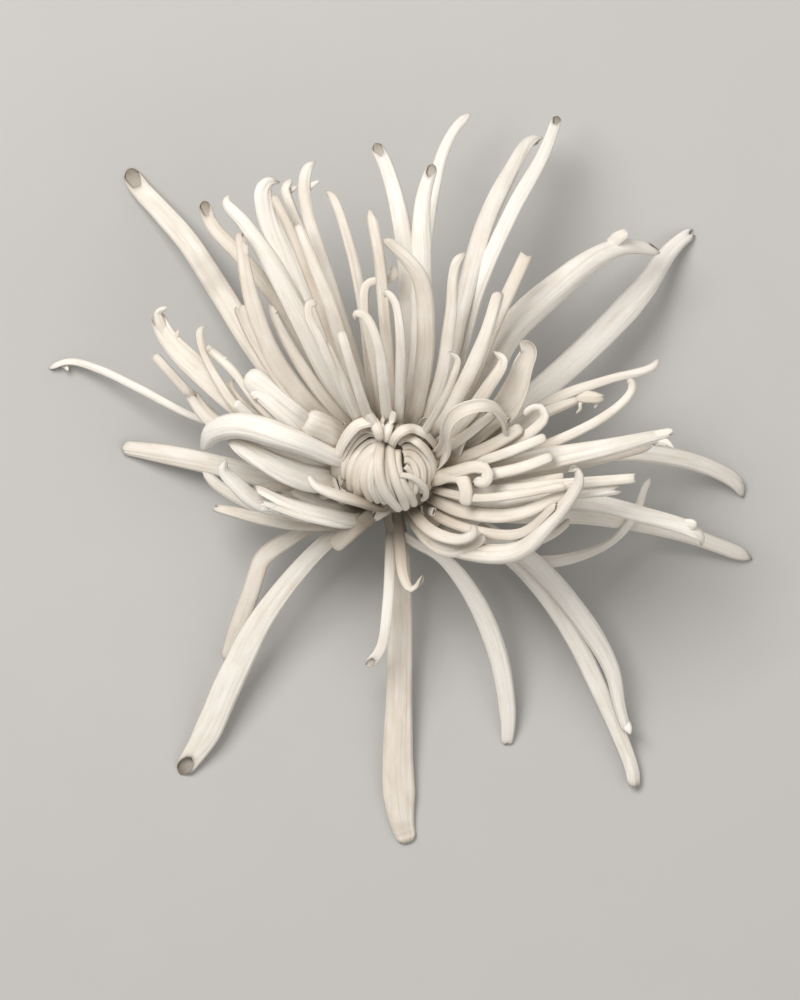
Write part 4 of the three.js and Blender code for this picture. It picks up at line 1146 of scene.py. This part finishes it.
class Board:
    """A material's node tree."""

    def __init__(self, name: str) -> None:
        """Starts a material with its Principled shader.

        Args:
            name: The material's name.
        """
        self.material = bpy.data.materials.new(name)
        self.material.use_nodes = True
        self.tree = self.material.node_tree
        self.shader = next(n for n in self.tree.nodes if n.type == "BSDF_PRINCIPLED")

    def node(self, kind: str, settings: dict[str, object] | None = None,
             inputs: dict[str | int, object] | None = None) -> bpy.types.Node:
        """Adds a node.

        Args:
            kind: The node's type.
            settings: What is set on it first.
            inputs: Values, colours or links of its sockets, by name or number.

        Returns:
            The node.
        """
        made = self.tree.nodes.new(kind)
        for key, value in (settings or {}).items():
            setattr(made, key, value)
        for key, value in (inputs or {}).items():
            self.feed(made.inputs[key], value)
        return made

    def feed(self, socket: bpy.types.NodeSocket, value: object) -> None:
        """Links a wire to a socket, or sets the socket's value.

        Args:
            socket: The input that is fed.
            value: A wire, a colour, a vector or a number.
        """
        if isinstance(value, Wire):
            self.tree.links.new(value.socket, socket)
        elif isinstance(value, tuple) and len(value) == 3 and len(socket.default_value) == 4:
            socket.default_value = (*value, 1.0)
        else:
            socket.default_value = value

    def out(self, node: bpy.types.Node, name: str | int = 0) -> Wire:
        """One of a node's outputs as a wire."""
        return Wire(self, node.outputs[name])

    def value(self, attribute: str) -> Wire:
        """A number kept at each vertex of the mesh."""
        return self.out(self.node("ShaderNodeAttribute", {"attribute_name": attribute}), "Fac")

    def vector(self, x: Wire | Number, y: Wire | Number, z: Wire | Number) -> Wire:
        """Three values as a vector."""
        return self.out(self.node("ShaderNodeCombineXYZ", {}, {0: x, 1: y, 2: z}))

    def noise(self, where: Wire, scale: float, detail: float = 3.0, rough: float = 0.5) -> Wire:
        """A soft noise over a vector, around 0.5."""
        return self.out(self.node("ShaderNodeTexNoise", {}, {
            "Vector": where, "Scale": scale, "Detail": detail, "Roughness": rough}))

    def mix(self, share: Wire | Number, first: object, second: object) -> Wire:
        """A colour between two."""
        return self.out(self.node("ShaderNodeMix", {"data_type": "RGBA"}, {0: share, 6: first, 7: second}), 2)

    def bump(self, height: Wire, strength: float, distance: float) -> Wire:
        """A normal from a height in metres."""
        return self.out(self.node("ShaderNodeBump", {}, {
            "Strength": strength, "Distance": distance, "Height": height}))

    def finish(self, **sockets: object) -> bpy.types.Material:
        """Feeds the shader's sockets.

        Args:
            sockets: What goes into each, its name written with _ for a space.

        Returns:
            The material.
        """
        for key, value in sockets.items():
            self.feed(self.shader.inputs[key.replace("_", " ")], value)
        return self.material


@dataclass(frozen=True)
class PetalFinish:
    """Ivory petal flesh: fine lengthwise veins, a stippled skin, brownish tips, and painted shade near the
    roots, in creases and in hollows.

    Attributes:
        name: The material's name.
        white: The brightest flesh.
        beige: The dullest flesh.
        vein: The veins.
        brown: Stained tips, and the painted shade near the root, in creases and in hollows.
        rough: The roughness.
        gloss: How strongly the skin reflects.
        scatter: How much light goes through the flesh.
        scatter_radius: How far each of its colours goes.
        scatter_depth: How far that is in metres.
        relief: How strongly veins and skin stand out.
        relief_depth: How high they are in metres.
        veins_per_mm: How many veins there are in a millimetre.
        root_shade: How much painted shade dulls a floret near its root, where the florets crowd into the dark
            round the heart.
    """

    name: str = "petal"
    white: Colour = (0.87, 0.835, 0.78)
    beige: Colour = (0.62, 0.53, 0.42)
    vein: Colour = (0.46, 0.375, 0.28)
    brown: Colour = (0.20, 0.165, 0.125)
    rough: float = 0.5
    gloss: float = 0.35
    scatter: float = 0.15
    scatter_radius: Colour = (1.0, 0.72, 0.5)
    scatter_depth: float = 0.0004
    relief: float = 0.8
    relief_depth: float = 0.00025
    veins_per_mm: float = 3.0
    root_shade: float = 0.5

    def make(self) -> bpy.types.Material:
        """Builds the material.

        Returns:
            The material.
        """
        board = Board(self.name)
        reach, girth = board.value("reach"), board.value("girth")
        tint, stain = board.value("tint"), board.value("stain")
        lanes = board.vector(girth * self.veins_per_mm, reach * 0.09, tint * 37.0)
        fine = board.noise(lanes, 1.0, 3.0, 0.6)
        broad = board.noise(board.vector(girth * 1.3, reach * 0.05, tint * 23.0), 1.0, 1.0)
        vein = fine * 0.6 + broad * 0.4
        patch = board.noise(board.vector(girth * 0.5, reach * 0.16, tint * 11.0), 1.0, 2.0)
        skin = board.noise(board.vector(girth, reach, tint * 5.0), 5.5, 2.0, 0.6)
        # Painted shade near the root: duller, then browner, the closer to the heart
        root = (1.0 - (reach - 7.0) * 0.105).clamp()
        bright = (tint * 0.75 + 0.28 + (patch - 0.5) * 0.9 - root * self.root_shade).clamp()
        colour = board.mix(bright, self.beige, self.white)
        colour = board.mix(((vein - 0.5) * 4.0).clamp() * 0.4, colour, self.vein)
        colour = board.mix(root * root * 0.8, colour, self.brown)
        # Stained tips, with the painted shade of creases, inner faces, the inner florets and the receptacle
        colour = board.mix((stain * (0.7 + patch * 0.6)).clamp(), colour, self.brown)
        height = vein * 0.7 + skin * 0.3
        return board.finish(
            Base_Color=colour,
            Roughness=self.rough + (skin - 0.5) * 0.2,
            Normal=board.bump(height, self.relief, self.relief_depth),
            Subsurface_Weight=self.scatter,
            Subsurface_Radius=self.scatter_radius,
            Subsurface_Scale=self.scatter_depth,
            Specular_IOR_Level=self.gloss,
        )


@dataclass(frozen=True)
class GreenFinish:
    """The green of bracts, cup and stem: paler streaks along the growth, a dry edge and fine hairs.

    Attributes:
        name: The material's name.
        dark: The darkest green.
        pale: The streaks.
        dry: Dried tips and the cut foot, and the faint painted shade on the bracts' inner faces.
        rough: The roughness.
        gloss: How strongly it reflects.
        relief: How strongly streaks and hairs stand out.
        relief_depth: How high they are in metres.
        streaks_per_mm: How many streaks there are in a millimetre.
    """

    name: str
    dark: Colour = (0.075, 0.12, 0.035)
    pale: Colour = (0.22, 0.30, 0.10)
    dry: Colour = (0.33, 0.26, 0.14)
    rough: float = 0.62
    gloss: float = 0.4
    relief: float = 0.6
    relief_depth: float = 0.00015
    streaks_per_mm: float = 2.6

    def make(self) -> bpy.types.Material:
        """Builds the material.

        Returns:
            The material.
        """
        board = Board(self.name)
        reach, girth, stain = board.value("reach"), board.value("girth"), board.value("stain")
        streak = board.noise(board.vector(girth * self.streaks_per_mm, reach * 0.3, 0.0), 1.0, 4.0, 0.6)
        patch = board.noise(board.vector(girth * 0.4, reach * 0.4, 3.0), 1.0, 2.0)
        hair = board.noise(board.vector(girth, reach * 0.5, 7.0), 9.0, 2.0, 0.7)
        colour = board.mix((streak * 1.4 - 0.35 + (patch - 0.5) * 0.6).clamp(), self.dark, self.pale)
        # Dried tips and the cut foot, with a little painted shade on the bracts' inner faces
        colour = board.mix(stain.clamp(), colour, self.dry)
        return board.finish(
            Base_Color=colour,
            Roughness=self.rough + (hair - 0.5) * 0.25,
            Normal=board.bump(streak * 0.6 + hair * 0.4, self.relief, self.relief_depth),
            Specular_IOR_Level=self.gloss,
        )


@dataclass(frozen=True)
class FloorFinish:
    """A plain pale studio surface."""

    name: str = "studio_surface"
    pale: Colour = (0.5, 0.495, 0.485)

    def make(self) -> bpy.types.Material:
        """Builds the material.

        Returns:
            The material.
        """
        board = Board(self.name)
        where = board.out(board.node("ShaderNodeTexCoord"), "Object")
        grain = board.noise(where, 60.0, 3.0)
        tone = board.mix(grain, tuple(0.97 * c for c in self.pale), self.pale)
        return board.finish(Base_Color=tone, Roughness=0.85, Specular_IOR_Level=0.2)


class Piece:
    """A mesh piece put together from skins."""

    def __init__(self, name: str) -> None:
        """Starts an empty piece."""
        self.name = name
        self.skins: list[Skin] = []

    def add(self, skin: Skin, tint: float) -> None:
        """Adds a skin with its brightness, partly tone and partly painted light and shade."""
        skin.marks["tint"] = np.full(len(skin.places), tint)
        self.skins.append(skin)

    def make(self, material: bpy.types.Material, nodes: tuple[str, ...], slot: str) -> bpy.types.Object:
        """Makes the object, dresses it and lets it stand for CAD nodes.

        Args:
            material: Its finish.
            nodes: The CAD nodes that it stands for.
            slot: The record's material slot; not used.

        Returns:
            The object.
        """
        offsets = np.cumsum([0, *[len(s.places) for s in self.skins]])
        mesh = bpy.data.meshes.new(self.name)
        places = np.vstack([s.places for s in self.skins]) * MM
        faces = [tuple(dict.fromkeys(face)) for s, start in zip(self.skins, offsets)
                 for face in (s.faces + start).tolist()]
        mesh.from_pydata(places.tolist(), [], faces)
        for key in ("reach", "girth", "stain", "tint"):
            layer = mesh.attributes.new(key, "FLOAT", "POINT")
            values = np.concatenate([s.marks[key] for s in self.skins]).astype(np.float32)
            layer.data.foreach_set("value", values)
        mesh.polygons.foreach_set("use_smooth", [True] * len(mesh.polygons))
        mesh.materials.append(material)
        mesh.update()
        made = bpy.data.objects.new(self.name, mesh)
        bpy.context.scene.collection.objects.link(made)
        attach(made, "root")
        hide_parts(*nodes)
        LOG.info("%s: %d faces", self.name, len(faces))
        return made


@dataclass
class Fan:
    """One region of long florets.

    Attributes:
        name: Where it is.
        rays: Its florets.
        finish: Their material.
        dull: The dullest brightness that is drawn for a floret without its own.
        lively: The brightest.
    """

    name: str
    rays: tuple[Ray, ...]
    finish: bpy.types.Material
    dull: float = 0.3
    lively: float = 0.65

    def tint(self, ray: str) -> float:
        """A floret's brightness, from 0 for dull to 1 for white: its own, which is partly painted light and
        shade, or a tone drawn from its name.
        """
        own = look_of(ray).tint
        return float(chance_for(ray, 1).uniform(self.dull, self.lively)) if own is None else own

    def build(self) -> bpy.types.Object:
        """Builds the florets of the region with their teeth and lobes.

        Returns:
            The piece's object.
        """
        piece = Piece(f"florets_{self.name}")
        lines = {}
        for ray in self.rays:
            lines[ray.name] = ray.line()
            piece.add(ray.blade().skin(lines[ray.name]), self.tint(ray.name))
        for slip in SLIPS:
            if slip.parent in lines:
                parent = lines[slip.parent]
                skin = slip.blade().skin(slip.line(parent))
                # Counted on from the parent's tip, so that the painted root shade stays off the slip
                skin.marks["reach"] += parent.length
                piece.add(skin, self.tint(slip.parent))
        return piece.make(self.finish, ("florets",), "floret")


@dataclass
class Underlayer:
    """The short florets that fill the bloom below the long ones.

    Attributes:
        finish: Their material.
        reaches: How far they reach from the heart at even angles round it, in steps, from the right
            counter-clockwise and back to the right.
        count: How many there are in a row.
        least: The shortest reach that is worth a floret.
        rows: For each row, its share of the reach and its heights at root, middle and tip.
        widths: The narrowest and the broadest, in steps.
        tints: The dullest and the brightest.
    """

    finish: bpy.types.Material
    reaches: tuple[float, ...] = (
        165, 150, 120, 105, 100, 110, 125, 150, 155, 110, 40, 20, 20, 60, 120, 160, 165)
    count: int = 34
    least: float = 50.0
    rows: tuple[tuple[float, tuple[float, float, float]], ...] = (
        (1.0, (17, 18, 20)), (0.85, (19, 22, 24)), (0.72, (20, 25, 27)))
    widths: tuple[float, float] = (8.5, 12.0)
    tints: tuple[float, float] = (0.05, 0.4)

    def ray(self, row: int, index: int) -> tuple[Ray, float] | None:
        """One short floret, or nothing where there is no room for one.

        Args:
            row: Its row.
            index: Its number in the row.

        Returns:
            The floret and its brightness.
        """
        name = f"under{row}x{index}"
        chance = chance_for(name)
        share, heights = self.rows[row]
        turn = 2 * math.pi * (index + 0.33 * row + chance.uniform(-0.25, 0.25)) / self.count
        reach = share * chance.uniform(0.8, 1.0)
        reach *= float(spread(self.reaches, np.array(turn / (2 * math.pi) % 1)))
        if reach < self.least:
            return None
        bend = chance.uniform(-0.12, 0.12)
        route = tuple(
            (ROOT_CENTRE[0] + reach * at * math.cos(turn + bend * at),
             ROOT_CENTRE[1] - reach * at * math.sin(turn + bend * at))
            for at in (0.4, 0.7, 0.93, 1.0))
        width = chance.uniform(*self.widths)
        end = (End.CURL, End.BLUNT, End.ROUND)[int(chance.integers(3))]
        lifted = tuple(h + chance.uniform(-1.5, 1.5) for h in heights)
        ray = Ray(name, end, (width * 0.8, width, width, width * 0.7), lifted, route)
        return ray, float(chance.uniform(*self.tints))

    def build(self) -> bpy.types.Object:
        """Builds the rows.

        Returns:
            The piece's object.
        """
        piece = Piece("florets_under")
        for row in range(len(self.rows)):
            for index in range(self.count):
                made = self.ray(row, index)
                if made:
                    ray, tint = made
                    piece.add(ray.blade().skin(ray.line()), tint)
        return piece.make(self.finish, ("florets",), "floret")


@dataclass
class Heart:
    """The ball of young florets and the domed receptacle that everything is rooted in.

    Attributes:
        finish: Their material.
        inner_count: How many shut inner florets there are.
        inner_lift: How far they are above the ball, in millimetres.
        inner_shade: How much painted shade darkens them, for the deep crevices between the young florets.
        height: How far from the root the young florets start, in millimetres; it lessens the painted root
            shade on them.
        uneven: How much the brightness of two young florets differs from their look.
        pole: The grid point where the inner florets close.
        foot: How far from the middle of the ball they start, in steps across and along.
        sway: How far they bend aside, in steps.
        drop: How far below the ball they start, in millimetres.
        dome: Radius and height along the receptacle, in millimetres.
        dome_sides: The vertices in one of its rings.
        dome_rings: Its rings.
        pit: How deep the seats of the florets are, in millimetres.
    """

    finish: bpy.types.Material
    inner_count: int = 26
    inner_lift: float = -0.5
    inner_shade: float = 0.45
    height: float = 12.0
    uneven: float = 0.12
    pole: tuple[float, float] = (392.0, 445.0)
    foot: tuple[float, float] = (51.0, 41.0)
    sway: float = 5.0
    drop: float = 5.0
    dome: tuple[tuple[float, float], ...] = (
        (0.5, 14.4), (5.2, 14.4), (6.3, 16.2), (6.5, 18.6), (6.2, 21.5), (5.6, 24.5), (4.6, 27.0),
        (2.6, 28.8), (0.5, 29.4))
    dome_sides: int = 72
    dome_rings: int = 48
    pit: float = 0.14

    def inner(self, index: int) -> Blade:
        """One of the tightly shut inner florets that close the ball under the outer ones.

        Args:
            index: Its number.

        Returns:
            Its sheet.
        """
        return Blade(f"inner{index}", (2.6, 3.0, 2.8, 2.0, 1.2), END_FORMS[End.POINT],
                     Look(curl=(200, 190, 190, 200), turn=(180, 180, 180, 180), mark=0.4),
                     thick=0.4, ribs=0.1, rib_pitch=0.8, pitch=0.7)

    def inner_line(self, index: int) -> Line:
        """From the foot of the ball up and over towards the place where they all close.

        Args:
            index: The inner floret's number.

        Returns:
            Its line.
        """
        turn = 2 * math.pi * index / self.inner_count
        foot = np.array([BALL_CENTRE[0] + self.foot[0] * math.cos(turn),
                         BALL_CENTRE[1] - self.foot[1] * math.sin(turn)])
        bend = np.array([-math.sin(turn), -math.cos(turn)]) * self.sway * math.sin(3.0 * index)
        pole = np.array(self.pole)
        routes = [foot + (pole - foot) * share + bend * 4 * share * (1 - share)
                  for share in (0.0, 0.25, 0.5, 0.75, 0.93)]
        points = [place(p, ball_height(place(p)) + self.inner_lift) for p in routes]
        low = points[0] - np.array([0.0, 0.0, self.drop])
        line = Line(np.array([low, *points]))
        return line.lay(ball_normals(line.places))

    def receptacle(self) -> Skin:
        """The receptacle: a dome pitted with the seats of the florets, darkened all over with painted shade.

        Returns:
            Its closed skin.
        """
        profile = Line(np.array([[r, 0.0, z] for r, z in self.dome]))
        rows = profile.read(profile.places, np.linspace(0, 1, self.dome_rings))
        turn = np.linspace(0, 2 * math.pi, self.dome_sides, endpoint=False)
        radius, height = np.abs(rows[:, 0])[:, None], rows[:, 2][:, None]
        waves = np.sin(11 * turn[None, :] + height * 2.1) * np.sin(height * 3.1)
        pits = self.pit * waves * smooth(0.5, 4.0, radius)
        # Darkened 0.75 all over: painted shade, so that the hollow under the heart reads dark
        return ring_skin(around(radius + pits, height, turn), 0.75)

    def build(self) -> list[bpy.types.Object]:
        """Builds the ball and the receptacle.

        Returns:
            Both objects.
        """
        ball = Piece("heart_florets")
        for young in YOUNG:
            skin = young.blade().skin(young.line())
            # Moved out from the root, which lessens the painted root shade on the young florets
            skin.marks["reach"] += self.height
            own = chance_for(young.name).uniform(-self.uneven, self.uneven)
            ball.add(skin, float(young.look.tint + own))
        for index in range(self.inner_count):
            skin = self.inner(index).skin(self.inner_line(index))
            # Painted shade: the inner florets are darkened and dulled so that the crevices between the young
            # florets read dark
            skin.marks["stain"] += self.inner_shade
            ball.add(skin, 0.1)
        base = Piece("receptacle")
        # At the dullest brightness as well: painted shade of the hollow
        base.add(self.receptacle(), 0.0)
        return [piece.make(self.finish, ("florets",), "floret") for piece in (ball, base)]


def ring_skin(places: np.ndarray, stain: float) -> Skin:
    """A closed skin over rings round an axis, whose first and last ring are filled.

    Args:
        places: The places, ring by ring.
        stain: How strongly staining and painted shade darken it all over.

    Returns:
        The skin.
    """
    rings, row = places.shape[:2]
    i, k = np.meshgrid(np.arange(rings - 1), np.arange(row), indexing="ij")
    a, b = i * row + k, i * row + (k + 1) % row
    walls = np.stack([a, b, b + row, a + row], axis=-1).reshape(-1, 4)
    first, last = places[0].mean(axis=0), places[-1].mean(axis=0)
    j = np.arange(row)
    foot, top = rings * row, rings * row + 1
    ends = np.vstack([
        np.stack([(j + 1) % row, j, np.full(row, foot), np.full(row, foot)], axis=-1),
        np.stack([(rings - 1) * row + j, (rings - 1) * row + (j + 1) % row, np.full(row, top),
                  np.full(row, top)], axis=-1)])
    everything = np.vstack([places.reshape(-1, 3), first, last])
    steps = np.linalg.norm(np.diff(places, axis=0, prepend=places[:1]), axis=2)
    reach = np.cumsum(steps, axis=0)
    sideways = np.linalg.norm(places - np.roll(places, 1, axis=1), axis=2)
    girth = np.cumsum(sideways, axis=1)
    marks = {
        "reach": np.concatenate([reach.ravel(), [0.0, float(reach.max())]]),
        "girth": np.concatenate([girth.ravel(), [0.0, 0.0]]),
        "stain": np.full(len(everything), stain),
    }
    return Skin(everything, np.vstack([walls, ends]), marks)


@dataclass
class Cup:
    """The green cup with its three rows of overlapping bracts.

    Attributes:
        finish: Their material.
        profile: Radius and height along the cup's wall, in millimetres.
        rows: For each row of bracts, their number, first angle, radius and height along them, and width.
        form: How a bract is curled and pointed.
        rib: How far the wall's ribs stand out, in millimetres.
        ribs: Their number.
        sides: The vertices in one of the wall's rings.
        rings: The wall's rings.
    """

    finish: bpy.types.Material
    profile: tuple[tuple[float, float], ...] = (
        (0.5, 6.9), (2.3, 6.9), (4.2, 8.2), (5.9, 10.8), (6.7, 13.4), (5.4, 14.1), (0.5, 14.1))
    rows: tuple[tuple[int, float, tuple[tuple[float, float], ...], float], ...] = (
        (10, 0.0, ((4.4, 10.2), (6.7, 12.4), (8.3, 14.3)), 3.4),
        (9, 0.35, ((3.2, 8.0), (6.0, 10.6), (7.9, 12.4)), 3.2),
        (8, 0.7, ((1.9, 7.4), (4.6, 8.4), (6.9, 9.8)), 2.8))
    form: EndForm = EndForm((80, 90, 80, 60), (0, 0, 0, 0), 0.3, 1.6,
                            (1.1, 0.6, 0.25, 0.08, 0.0, 0.08, 0.25, 0.6, 1.1), 0.9)
    rib: float = 0.06
    ribs: int = 18
    sides: int = 96
    rings: int = 40

    def bract(self, row: int, index: int) -> Skin:
        """One bract, running out and up from the axis.

        Args:
            row: Its row.
            index: Its number in the row.

        Returns:
            Its closed skin.
        """
        count, turn, stops, width = self.rows[row]
        angle = turn + 2 * math.pi * index / count
        centre = place(ROOT_CENTRE)
        points = np.array([[centre[0] + r * math.cos(angle), centre[1] + r * math.sin(angle), z]
                           for r, z in stops])
        widths = (width * 0.8, width * 1.05, width * 1.05, width * 0.9, width * 0.6)
        blade = Blade(f"bract{row}{index}", widths, self.form, Look(), thick=0.62, ribs=0.12,
                      rib_pitch=0.6, pitch=0.35)
        return blade.skin(Line(points))

    def wall(self) -> Skin:
        """The cup itself, ribbed below the bracts.

        Returns:
            Its closed skin.
        """
        line = Line(np.array([[r, 0.0, z] for r, z in self.profile]))
        rows = line.read(line.places, np.linspace(0, 1, self.rings))
        turn = np.linspace(0, 2 * math.pi, self.sides, endpoint=False)
        radius, height = np.clip(rows[:, 0], 0.0, None)[:, None], rows[:, 2][:, None]
        rib = self.rib * np.cos(self.ribs * turn)[None, :] * smooth(0.8, 3.0, radius)
        return ring_skin(around(radius + rib, height, turn), 0.0)

    def build(self) -> bpy.types.Object:
        """Builds the cup.

        Returns:
            The piece's object.
        """
        piece = Piece("involucre_bracts")
        piece.add(self.wall(), 0.5)
        for row, (count, *_) in enumerate(self.rows):
            for index in range(count):
                piece.add(self.bract(row, index), 0.5)
        return piece.make(self.finish, ("involucre",), "bract")


@dataclass
class Stem:
    """The short stub of stem, ribbed, with a cut foot.

    Attributes:
        finish: Its material.
        radius: Its radius in millimetres.
        rib: How far its ribs stand out, in millimetres.
        ribs: Their number.
        fine: How far the fine lines between them stand out, in millimetres.
        top: Its height in millimetres.
        swell: How much wider it is at the top.
        foot: For each ring of the sunken cut, the share of the radius and the height in millimetres.
        sides: The vertices in a ring.
        rings: The rings along it.
    """

    finish: bpy.types.Material
    radius: float = 2.3
    rib: float = 0.16
    ribs: int = 7
    fine: float = 0.03
    top: float = 6.6
    swell: float = 0.09
    foot: tuple[tuple[float, float], ...] = ((0.35, 0.5), (0.62, 0.32), (0.86, 0.06), (0.95, 0.0))
    sides: int = 112
    rings: int = 24

    def body(self) -> Skin:
        """The ribbed stub with softly rounded ribs and a sunken pith at the cut.

        Returns:
            Its closed skin.
        """
        turn = np.linspace(0, 2 * math.pi, self.sides, endpoint=False)
        along = [(1.0, z) for z in np.linspace(0.12, self.top, self.rings)]
        places = []
        for share, level in (*self.foot, *along, (0.6, self.top)):
            height = np.full(self.sides, level)
            swell = 1 + self.swell * (height / self.top) ** 2
            lines = self.fine * np.cos(31 * turn + 2 * np.sin(height))
            wave = self.rib * np.cos(self.ribs * turn) + lines
            places.append(around((self.radius + wave) * swell * share, height, turn))
        skin = ring_skin(np.array(places), 0.0)
        stain = np.zeros(len(skin.places))
        stain[:self.sides * len(self.foot)] = 0.8
        stain[-2] = 1.0
        skin.marks["stain"] = stain
        return skin

    def build(self) -> bpy.types.Object:
        """Builds the stub.

        Returns:
            The piece's object.
        """
        piece = Piece("stem_stub")
        piece.add(self.body(), 0.5)
        return piece.make(self.finish, ("stem",), "stem")


@dataclass
class Studio:
    """The pale surface, the soft lights and the camera above the bloom.

    Attributes:
        surface: The material of the surface.
        reach: Half the side of the surface in metres.
        view: The longer side of the picture in metres.
        middle: The grid point in the middle of the picture.
        height: How high the camera is, in metres.
        room: The colour of the room's even light.
        room_strength: How strong that light is.
    """

    surface: bpy.types.Material
    reach: float = 1.6
    view: float = 0.2
    middle: tuple[Number, Number] = (400.0, 500.0)
    height: float = 0.6
    room: tuple[float, float, float, float] = (1.0, 0.985, 0.96, 1.0)
    room_strength: float = 0.38

    def floor(self) -> bpy.types.Object:
        """The surface that the bloom lies on.

        Returns:
            The object.
        """
        steps = np.linspace(-self.reach, self.reach, 9)
        x, y = np.meshgrid(steps, steps)
        corners = np.stack([x.ravel(), y.ravel(), np.zeros(x.size)], axis=-1)
        n = len(steps)
        faces = [(r * n + c, r * n + c + 1, (r + 1) * n + c + 1, (r + 1) * n + c)
                 for r in range(n - 1) for c in range(n - 1)]
        mesh = bpy.data.meshes.new("studio_floor")
        mesh.from_pydata(corners.tolist(), [], faces)
        mesh.materials.append(self.surface)
        made = bpy.data.objects.new("studio_floor", mesh)
        bpy.context.scene.collection.objects.link(made)
        return made

    def lamp(self, name: str, where: tuple[float, float, float], size: float, power: float,
             colour: Colour) -> bpy.types.Object:
        """A square soft light aimed at the bloom.

        Args:
            name: Its name.
            where: Its place in metres.
            size: The length of its side.
            power: Its power in watts.
            colour: Its colour.

        Returns:
            The light.
        """
        data = bpy.data.lights.new(name, "AREA")
        data.size, data.energy, data.color = size, power, colour
        made = bpy.data.objects.new(name, data)
        back = np.array(where) - np.array([0.0, 0.0, 0.03])
        made.location = where
        yaw = math.atan2(back[1], back[0]) + math.pi / 2
        made.rotation_euler = (math.acos(back[2] / np.linalg.norm(back)), 0.0, yaw)
        bpy.context.scene.collection.objects.link(made)
        return made

    def camera(self) -> bpy.types.Object:
        """The camera straight above the face of the bloom.

        Returns:
            The object.
        """
        data = bpy.data.cameras.new("camera")
        data.type, data.ortho_scale = "ORTHO", self.view
        data.clip_start, data.clip_end = 0.01, 10.0
        made = bpy.data.objects.new("camera", data)
        x, y, _ = place(self.middle) * MM
        made.location = (x, y, self.height)
        bpy.context.scene.collection.objects.link(made)
        bpy.context.scene.camera = made
        return made

    def world(self) -> None:
        """The even light of the room."""
        world = bpy.data.worlds.new("room")
        world.use_nodes = True
        back = world.node_tree.nodes["Background"]
        back.inputs["Color"].default_value = self.room
        back.inputs["Strength"].default_value = self.room_strength
        bpy.context.scene.world = world

    def build(self) -> None:
        """Sets the studio up."""
        self.floor()
        self.lamp("key", (-0.3, 0.35, 0.75), 0.45, 6.7, (1.0, 0.975, 0.94))
        self.lamp("fill", (0.5, -0.2, 0.7), 0.8, 1.8, (1.0, 0.98, 0.95))
        self.camera()
        self.world()
        bpy.context.scene.view_settings.view_transform = "Standard"


def main() -> None:
    """Builds the studio and the bloom."""
    logging.basicConfig(level=logging.INFO, format="%(message)s")
    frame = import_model()
    LOG.info("chrysanthemum over the nodes %s", ", ".join(sorted(frame["nodes"])))
    Studio(FloorFinish().make()).build()
    petal = PetalFinish().make()
    for name, rays in FANS.items():
        Fan(name, rays, petal).build()
    Underlayer(petal).build()
    Heart(petal).build()
    Cup(GreenFinish("bract").make()).build()
    Stem(GreenFinish("stem", streaks_per_mm=3.4).make()).build()


if __name__ == "__main__":
    main()
